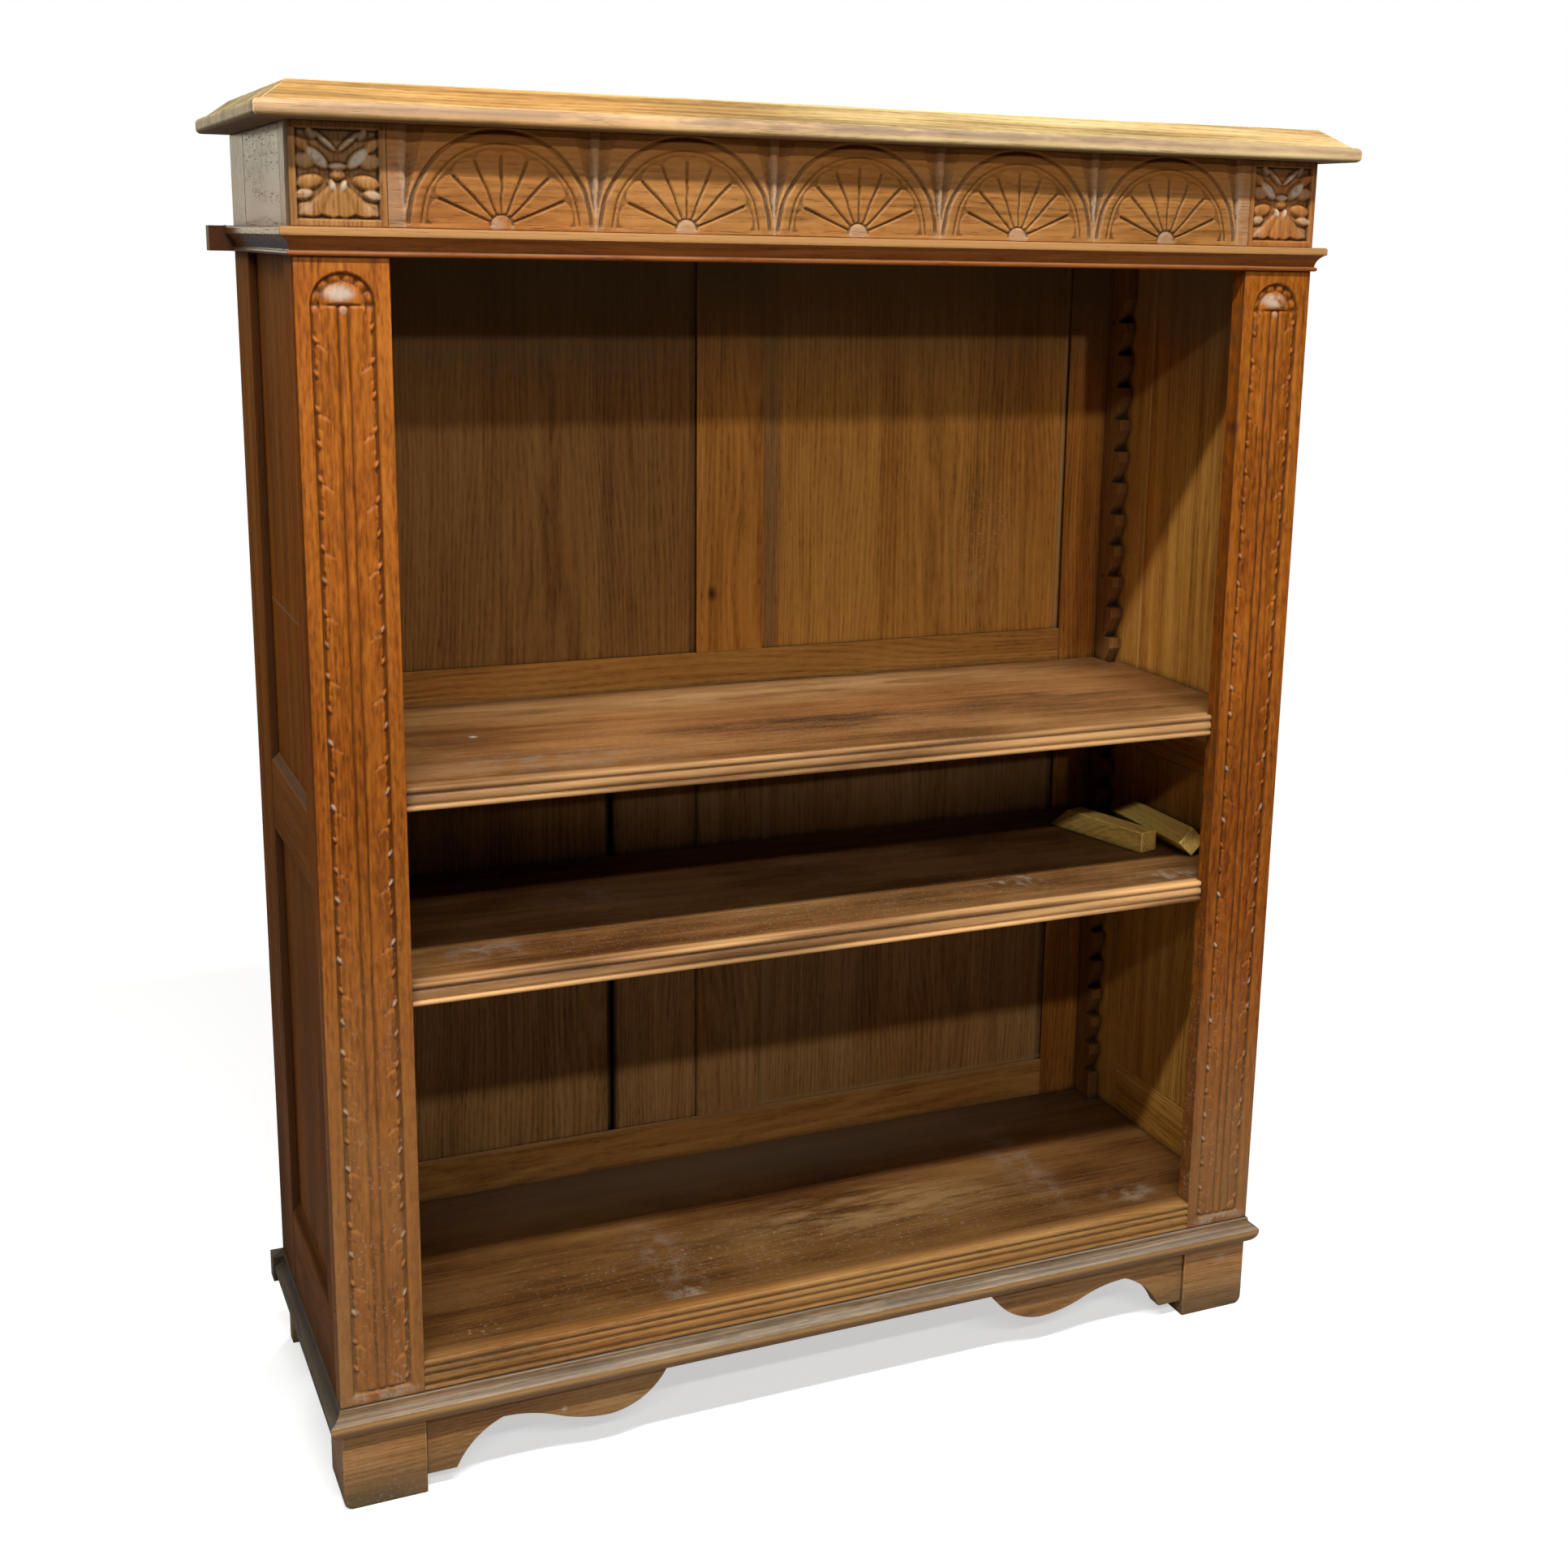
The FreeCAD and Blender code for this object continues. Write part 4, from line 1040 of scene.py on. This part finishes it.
class BOOKCASE_OT_ease_mouldings(bpy.types.Operator):
    """Ease and finish the necking and the base mouldings"""

    bl_idname = "bookcase.ease_mouldings"
    bl_label = "Ease Mouldings"

    def execute(self, context):
        colours = context.scene.bookcase_colours
        front, rear = -0.18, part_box("necking_left")[1].y - 0.010
        necking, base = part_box("necking_front")[1].z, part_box("base_moulding_front")[1].z
        # pale is a painted highlight along the top of the front necking's nosing
        pale = mark((0.0, front, necking - 0.004), (FAR, 0.1, 0.0068), 0.85, (0.46, 0.25, 0.09))
        stop = mark((0.0, rear, necking), (FAR, 0.035, FAR), 0.9, (0.035, 0.014, 0.008))
        base_marks = (
            mark((0.0, front, base - 0.006), (0.7, 0.1, 0.014), 0.5, colours.grime_and_shade, "stain"),
            mark((0.0, front, base - 0.004), (FAR, 0.1, 0.018), 0.7, (0.08, 0.05, 0.03), "line"),
            mark((0.0, front, base - 0.0265), (FAR, 0.1, 0.0100), 0.9, (0.27, 0.14, 0.055)),
            # painted highlight: a golden line along the base moulding's lip
            mark((0.0, front, base - 0.0168), (FAR, 0.1, 0.0048), 0.9, (0.52, 0.28, 0.09)),
        )
        dull, shiny = {"gloss": 0.40, "specular": 0.12}, {"gloss": 0.22, "specular": 0.36, "bump": 0.15}
        for place, grain, shine, necking_mark, colour, base_look in (
            ("front", "X", dull, pale, colours.base, {"film": 0.5, "marks": base_marks}),
            ("left", "Y", shiny, stop, colours.base_return, {"film": 0.1}),
            ("right", "Y", shiny, stop, colours.base_return, {"film": 0.1}),
        ):
            ease_board(
                f"necking_{place}", grain, colours.necking, colours, "case_oak", ease=0.0006,
                wear=0.35, film=0.15, marks=(necking_mark,), **shine,
            )
            ease_board(
                f"base_moulding_{place}", grain, colour, colours, "case_oak", ease=0.0006,
                wear=0.8, gloss=0.50, **base_look,
            )
        return {"FINISHED"}


class BOOKCASE_OT_ease_top(bpy.types.Operator):
    """Ease and finish the top board"""

    bl_idname = "bookcase.ease_top"
    bl_label = "Ease Top"

    def execute(self, context):
        colours = context.scene.bookcase_colours
        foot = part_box("top_board")[0].z
        ease_board(
            "top_board", "X", colours.top, colours, "top_oak", ease=0.0012, gloss=0.40, specular=0.4,
            streak_tone=1.7, stain=0.8, stain_tint=(1.0, 0.70, 0.42), crevice=0.0,
            marks=(
                # painted highlight along the front nosing
                mark((0.0, -0.2, foot + 0.010), (FAR, 0.02, 0.009), 0.65, (0.59, 0.355, 0.20)),
                mark((0.0, -0.2, foot + 0.012), (1.2, 0.02, 0.010), 0.7, (0.14, 0.10, 0.07), "stain"),
                # painted shade on the underside of the top
                mark((0.0, 0.0, foot), (FAR, FAR, 0.003), 0.9, (0.15, 0.075, 0.027)),
            ),
        )
        return {"FINISHED"}


class BOOKCASE_OT_ease_feet(bpy.types.Operator):
    """Ease and finish the feet and the apron brackets"""

    bl_idname = "bookcase.ease_feet"
    bl_label = "Ease Feet"

    def execute(self, context):
        colours = context.scene.bookcase_colours
        marks = (
            mark((0.517, -0.17, 0.070), (0.014, 0.03, 0.011), 1.0, colours.dust, "cloud"),
            mark((-0.316, -0.17, 0.059), (0.005, 0.03, 0.005), 1.0, colours.dust),
        )
        for side, paler in (("left", 1.0), ("right", 1.15)):
            foot = shaded(colours.foot, paler, paler, paler)
            bracket = shaded(foot, 0.8, 0.8, 0.8)
            for part, colour in (("front_foot", foot), ("rear_foot", foot), ("apron_bracket", bracket)):
                ease_board(
                    f"{part}_{side}", "X", colour, colours, "case_oak", ease=0.0014,
                    gloss=0.55, specks=(0.02, 0.16, 0.15), fade=(0.0, 0.06, 0.9),
                    fade_colour=(0.075, 0.060, 0.032), patch_tone=0.9, marks=marks,
                )
        return {"FINISHED"}


class BOOKCASE_OT_ease_back(bpy.types.Operator):
    """Ease and finish the framed back"""

    bl_idname = "bookcase.ease_back"
    bl_label = "Ease Back"

    def execute(self, context):
        colours = context.scene.bookcase_colours
        face, inner_face = 0.185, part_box("back_stile_left")[0].y
        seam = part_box("back_stile_right")[0].x - 0.003
        black, umber, painted_bead_highlight = (0.004, 0.003, 0.002), (0.012, 0.006, 0.003), (0.36, 0.20, 0.075)
        knot = mark((-0.023, face, 0.867), (0.008, 0.03, 0.014), 0.95, colours.grime_and_shade)
        flakes = mark((0.335, face, 0.93), (0.09, 0.03, 0.10), 0.55, colours.dust, "grit")
        haze = mark((0.33, face, 0.87), (0.10, 0.03, 0.10), 0.35, (0.42, 0.24, 0.08), "cloud")
        strip = mark((0.053, face, 1.0), (0.016, 0.03, 2.0), 0.55, (0.16, 0.09, 0.045))
        edge = mark((seam, face, 1.0), (0.005, 0.05, 2.0), 0.6, (0.50, 0.28, 0.10))
        # painted shade: black over the split between the lower left boards and on its edges
        painted_gap_shade = mark((-0.149, face, 0.4), (0.009, 0.05, FAR), 1.0, black)
        # painted shade in the gap between the lower muntin and its panels
        joint = mark((-0.045, 0.18, 0.4), (0.009, 0.05, FAR), 1.0, umber)
        # painted highlights: a pale line on the bottom rail's top chamfer, and pale lines on the beads
        # round the lower right panel
        sill = mark((0.0, 0.18, 0.199), (FAR, 0.05, 0.005), 0.7, painted_bead_highlight)
        # painted shade: darker across the top of the back, in the shadow under the necking and frieze
        painted_top_shade = mark((0.0, inner_face, 1.25), (FAR, 0.014, 0.18), 0.95, (0.125, 0.082, 0.036))
        beads = (
            mark((0.050, face, 0.4), (0.007, 0.05, FAR), 0.8, painted_bead_highlight),
            mark((0.444, face, 0.4), (0.007, 0.05, FAR), 0.8, painted_bead_highlight),
            mark((0.25, face, 0.203), (FAR, 0.05, 0.006), 0.8, painted_bead_highlight),
        )
        for part, grain, colour, marks in (
            ("stile_left", "Z", colours.frame, (painted_top_shade,)),
            ("stile_right", "Z", colours.frame, (painted_top_shade,)),
            ("top_rail", "X", colours.cross, (painted_top_shade,)),
            ("middle_rail", "X", shaded(colours.cross, 1.15, 1.15, 1.15), ()),
            ("bottom_rail", "X", shaded(colours.cross, 1.4, 1.5, 1.8), (sill,)),
            ("muntin_upper", "Z", colours.frame, (knot, painted_top_shade)),
            ("muntin_lower", "Z", colours.low_panel, (joint,)),
            ("panel_upper_left", "Z", colours.panel_left, (painted_top_shade,)),
            ("panel_upper_right", "Z", colours.panel_right, (haze, flakes, strip, edge, painted_top_shade)),
            ("panel_lower_left", "Z", colours.low_panel, (painted_gap_shade,)),
            ("panel_lower_right", "Z", colours.low_panel, (joint, *beads)),
        ):
            ease_board(
                f"back_{part}", grain, colour, colours, "back_oak", ease=0.0009, gloss=0.62,
                specular=0.12, ring=0.0046, drift=0.06, ring_tone=0.12, streak_tone=0.6, wear=0.35,
                marks=marks,
            )
        return {"FINISHED"}


class BOOKCASE_OT_ease_shelves(bpy.types.Operator):
    """Ease and finish the shelves and the bottom board"""

    bl_idname = "bookcase.ease_shelves"
    bl_label = "Ease Shelves"

    def execute(self, context):
        colours = context.scene.bookcase_colours
        dust, grime_and_shade = tuple(colours.dust), tuple(colours.grime_and_shade)
        grey, tan, bare = (0.24, 0.18, 0.125), (0.42, 0.24, 0.095), (0.21, 0.155, 0.093)
        # painted shade: the middle shelf is a darker copy of the shelf oak, for its shaded compartment
        middle = shaded(colours.shelf, 0.85, 0.86, 0.86)
        nose_reach, skin = 0.018, 0.02
        # nose: the paler front edge of a shelf, worn and with a painted highlight
        for node, colour, nose, level, spots in (
            # each spot: across, rearward, half width, half depth, strength, paint and kind
            ("shelf_upper", colours.shelf, (0.63, 0.34, 0.13), 0.756, (
                (-0.352, 0.027, 0.007, 0.007, 1.0, dust, "whole"),
                (0.0, 0.15, 0.7, 0.08, 0.3, tan, "whole"),
                (0.05, 0.14, 0.62, 0.09, 0.75, tan, "stain"),
                (0.02, -0.03, 0.26, 0.06, 0.75, grime_and_shade, "stain"),
                (0.30, 0.0, 0.20, 0.09, 0.6, grime_and_shade, "stain"),
                (-0.30, -0.10, 0.22, 0.06, 0.6, grey, "cloud"),
                (0.0, -0.06, 0.60, 0.20, 0.35, dust, "grit"),
            )),
            ("shelf_middle", middle, (0.94, 0.52, 0.205), 0.556, (
                (0.44, -0.12, 0.08, 0.03, 0.6, dust, "scuff"),
                (0.067, 0.083, 0.04, 0.04, 0.7, grey, "scuff"),
                (0.075, 0.029, 0.04, 0.04, 0.7, grey, "scuff"),
                (0.258, -0.074, 0.06, 0.03, 0.6, dust, "scuff"),
                (-0.22, 0.045, 0.09, 0.06, 0.6, grey, "cloud"),
                (-0.369, -0.082, 0.07, 0.05, 0.6, grey, "cloud"),
                (0.0, -0.10, 0.60, 0.10, 0.4, dust, "grit"),
            )),
            ("bottom_board", colours.bottom, None, 0.15, (
                # a paler rear strip, partly painted light over the shade there
                (0.0, 0.15, 0.7, 0.11, 0.65, bare, "whole"),
                (-0.165, -0.05, 0.045, 0.16, 0.55, grey, "cloud"),
                (-0.165, -0.135, 0.035, 0.025, 0.4, dust, "cloud"),
                (0.325, 0.015, 0.045, 0.19, 0.55, grey, "cloud"),
                (-0.398, -0.128, 0.04, 0.03, 0.5, dust, "grit"),
                (0.411, -0.115, 0.05, 0.03, 0.45, dust, "cloud"),
                (0.10, -0.03, 0.30, 0.09, 0.6, tan, "stain"),
                (0.0, -0.08, 0.60, 0.14, 0.35, dust, "grit"),
            )),
        ):
            marks = [
                mark((x, y, level), (wide, deep, skin), strength, paint, kind)
                for x, y, wide, deep, strength, paint, kind in spots
            ]
            front = {"nose": (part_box(node)[0].y, nose_reach, nose)} if nose else {}
            ease_board(
                node, "X", colour, colours, "shelf_oak", ease=0.0005, gloss=0.50, patch_tone=1.9,
                patch_size=0.8, streak_tone=0.9, wear=0.9, marks=marks, **front,
            )
        low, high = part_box("bottom_front_rail")
        sill = mark((0.0, high.y, high.z), (FAR, 0.9 * (high.y - low.y), 0.004), 0.9, colours.bottom)
        ease_board(
            "bottom_front_rail", "X", colours.rail, colours, "case_oak", ease=0.0005, wear=0.9,
            patch_tone=1.0, streak_tone=0.9, marks=(sill,),
        )
        return {"FINISHED"}


class BOOKCASE_OT_ease_racks(bpy.types.Operator):
    """Ease and finish the notched racks, bearers and rear rail"""

    bl_idname = "bookcase.ease_racks"
    bl_label = "Ease Racks"

    def execute(self, context):
        colours = context.scene.bookcase_colours
        aged = shaded(colours.batten, 0.62, 0.66, 1.0)
        for side in SIDES:
            for part in ("front_rack", "rear_rack"):
                ease_board(
                    f"{part}_{side}", "Z", colours.inner, colours, "inner_oak", ease=0.0005, gloss=0.6,
                    specular=0.12,
                )
            for part in ("bearer_upper", "bearer_middle"):
                ease_board(f"{part}_{side}", "Y", aged, colours, "pale_wood", ease=0.0008, gloss=0.6)
        ease_board("base_rear_rail", "X", colours.inner, colours, "inner_oak", ease=0.0010, gloss=0.6)
        return {"FINISHED"}


class BOOKCASE_OT_ease_battens(bpy.types.Operator):
    """Ease and finish the two loose battens"""

    bl_idname = "bookcase.ease_battens"
    bl_label = "Ease Loose Battens"

    def execute(self, context):
        colours = context.scene.bookcase_colours
        # their colour holds painted light for the shade they lie in
        for node in ("loose_batten_flat", "loose_batten_leaning"):
            ease_board(
                node, "Y", colours.batten, colours, "pale_wood", ease=0.0012, gloss=0.6, patch_tone=0.9
            )
        return {"FINISHED"}


class BOOKCASE_OT_finish_fixings(bpy.types.Operator):
    """Finish the hidden glue blocks and the wood screws"""

    bl_idname = "bookcase.finish_fixings"
    bl_label = "Finish Fixings"

    def execute(self, context):
        colours = context.scene.bookcase_colours
        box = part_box("glue_blocks")
        blocks = Oak("glue_blocks_oak", box, "Z", colours.inner, colours, gloss=0.6, crevice=0.0)
        screws = steel("wood_screws", colours)
        for node, material in (("glue_blocks", blocks.material), ("wood_screws", screws)):
            mesh = frame["nodes"][node].data
            mesh.materials.clear()
            mesh.materials.append(material)
        return {"FINISHED"}


class BOOKCASE_OT_set_stage(bpy.types.Operator):
    """Add the camera, five lamps, the surrounding light and a pale floor"""

    bl_idname = "bookcase.set_stage"
    bl_label = "Set Stage"

    def execute(self, context):
        stage = context.scene.bookcase_stage
        self.add_camera(context.scene, stage)
        self.add_lamps(context.scene, stage)
        self.light_world(context.scene, stage)
        self.add_floor(context.scene, stage)
        context.scene.view_settings.view_transform = "Standard"
        return {"FINISHED"}

    def add_camera(self, scene, stage):
        lens = bpy.data.cameras.new("camera")
        lens.sensor_width = 36.0
        lens.lens = stage.focal_pixels / stage.image_width * lens.sensor_width
        half = stage.image_width / 2
        lens.shift_x = (half - stage.centre_pixels[0]) / stage.image_width
        lens.shift_y = (stage.centre_pixels[1] - half) / stage.image_width
        camera = bpy.data.objects.new("camera", lens)
        scene.collection.objects.link(camera)
        turned = (
            Matrix.Rotation(stage.camera_yaw, 4, "Z")
            @ Matrix.Rotation(math.radians(90) - stage.camera_pitch, 4, "X")
            @ Matrix.Rotation(stage.camera_roll, 4, "Z")
        )
        camera.matrix_world = Matrix.Translation(stage.camera_place) @ turned
        scene.camera = camera

    def add_lamps(self, scene, stage):
        target = Vector((0.0, 0.0, 0.7))
        for name, place, length, width, light in (
            # light is the strength at the target
            ("lamp_near", (-0.6, -1.6, 3.3), 3.0, 0.12, 3.9),
            ("lamp_middle", (-0.9, -3.35, 2.92), 3.2, 0.12, 0.9),
            ("lamp_rear", (3.0, 4.4, 2.8), 1.6, 1.6, 1.75),
            ("lamp_rim", (-2.0, 4.2, 2.1), 1.9, 1.9, 0.22),
        ):
            lamp = bpy.data.lights.new(name, "AREA")
            lamp.shape = "RECTANGLE"
            lamp.size = length
            lamp.size_y = width
            lamp.color = stage.rim_colour if name == "lamp_rim" else (1.0, 1.0, 1.0)
            aim = target - Vector(place)
            lamp.energy = light * math.pi * aim.length_squared
            self.hang(scene, lamp, place, aim)
        lamp = bpy.data.lights.new("lamp_far", "SPOT")
        lamp.spot_size = math.radians(28)
        lamp.spot_blend = 0.1
        lamp.shadow_soft_size = 0.08
        lamp.energy = 310.0
        self.hang(scene, lamp, (0.2, -6.96, 2.95), Vector((0.0, 6.96, -0.55)))

    def hang(self, scene, lamp, place, aim):
        """Hangs a lamp with its long side across the front, tipped towards its aim."""
        holder = bpy.data.objects.new(lamp.name, lamp)
        scene.collection.objects.link(holder)
        holder.location = place
        holder.rotation_euler = (math.atan2(aim.y, -aim.z), 0.0, 0.0)
        holder.visible_camera = False

    def light_world(self, scene, stage):
        world = bpy.data.worlds.new("white_surround")
        world.use_nodes = True
        scene.world = world
        nodes = Nodes(world.node_tree)
        background = world.node_tree.nodes["Background"]
        seen = nodes.seen(stage.mirrored)
        strength = nodes.fill(nodes.add("ShaderNodeMapRange"), Value=seen, To_Min=stage.ambient)
        colour = nodes.mix(seen, stage.ambient_colour, (1.0, 1.0, 1.0))
        nodes.fill(background, Color=colour, Strength=strength["Result"])

    def add_floor(self, scene, stage):
        sheet = bmesh.new()
        bmesh.ops.create_circle(sheet, cap_ends=True, segments=96, radius=stage.floor_radius)
        mesh = bpy.data.meshes.new("floor")
        sheet.to_mesh(mesh)
        sheet.free()
        floor = bpy.data.objects.new("floor", mesh)
        scene.collection.objects.link(floor)
        finish = Finish("floor_finish")
        seen = finish.seen(stage.mirrored)
        colour = finish.mix(seen, stage.floor_bounce, stage.floor_colour)
        finish.fill(
            finish.shader, Base_Color=colour, Roughness=0.9, Specular_IOR_Level=0.0,
            Emission_Color=(1.0, 1.0, 1.0, 1.0), Emission_Strength=finish.times(seen, 0.55),
        )
        away = finish.vector("LENGTH", finish.place)
        clear = finish.add("ShaderNodeBsdfTransparent")
        blend = finish.add("ShaderNodeMixShader")
        faded = finish.band(away, 0.45 * stage.floor_radius, 0.97 * stage.floor_radius)
        finish.join(faded, blend.inputs[0])
        finish.join(finish.shader.outputs[0], blend.inputs[1])
        finish.join(clear.outputs[0], blend.inputs[2])
        finish.join(blend.outputs[0], finish.tree.nodes["Material Output"].inputs["Surface"])
        mesh.materials.append(finish.material)


OPERATORS = (
    BOOKCASE_OT_carve_frieze,
    BOOKCASE_OT_carve_blocks,
    BOOKCASE_OT_carve_pilasters,
    BOOKCASE_OT_ease_sides,
    BOOKCASE_OT_ease_mouldings,
    BOOKCASE_OT_ease_top,
    BOOKCASE_OT_ease_feet,
    BOOKCASE_OT_ease_back,
    BOOKCASE_OT_ease_shelves,
    BOOKCASE_OT_ease_racks,
    BOOKCASE_OT_ease_battens,
    BOOKCASE_OT_finish_fixings,
    BOOKCASE_OT_set_stage,
)
SETTINGS = {
    "bookcase_carving": CarvingSizes,
    "bookcase_colours": OakColours,
    "bookcase_stage": StageSizes,
}


class BOOKCASE_PT_bookcase(bpy.types.Panel):
    """Steps and settings of the bookcase"""

    bl_idname = "BOOKCASE_PT_bookcase"
    bl_label = "Carved Oak Bookcase"
    bl_space_type = "VIEW_3D"
    bl_region_type = "UI"
    bl_category = "Bookcase"

    def draw(self, context):
        for operator in OPERATORS:
            self.layout.operator(operator.bl_idname)
        for holder, group in SETTINGS.items():
            box = self.layout.box()
            for name in group.__annotations__:
                box.prop(getattr(context.scene, holder), name)


CLASSES = (*SETTINGS.values(), *OPERATORS, BOOKCASE_PT_bookcase)


def register():
    for cls in CLASSES:
        bpy.utils.register_class(cls)
    for name, group in SETTINGS.items():
        setattr(bpy.types.Scene, name, bpy.props.PointerProperty(type=group))


def unregister():
    for name in SETTINGS:
        delattr(bpy.types.Scene, name)
    for cls in reversed(CLASSES):
        bpy.utils.unregister_class(cls)


def main():
    register()
    for operator in OPERATORS:
        group, step = operator.bl_idname.split(".")
        getattr(getattr(bpy.ops, group), step)()


if __name__ == "__main__":
    main()
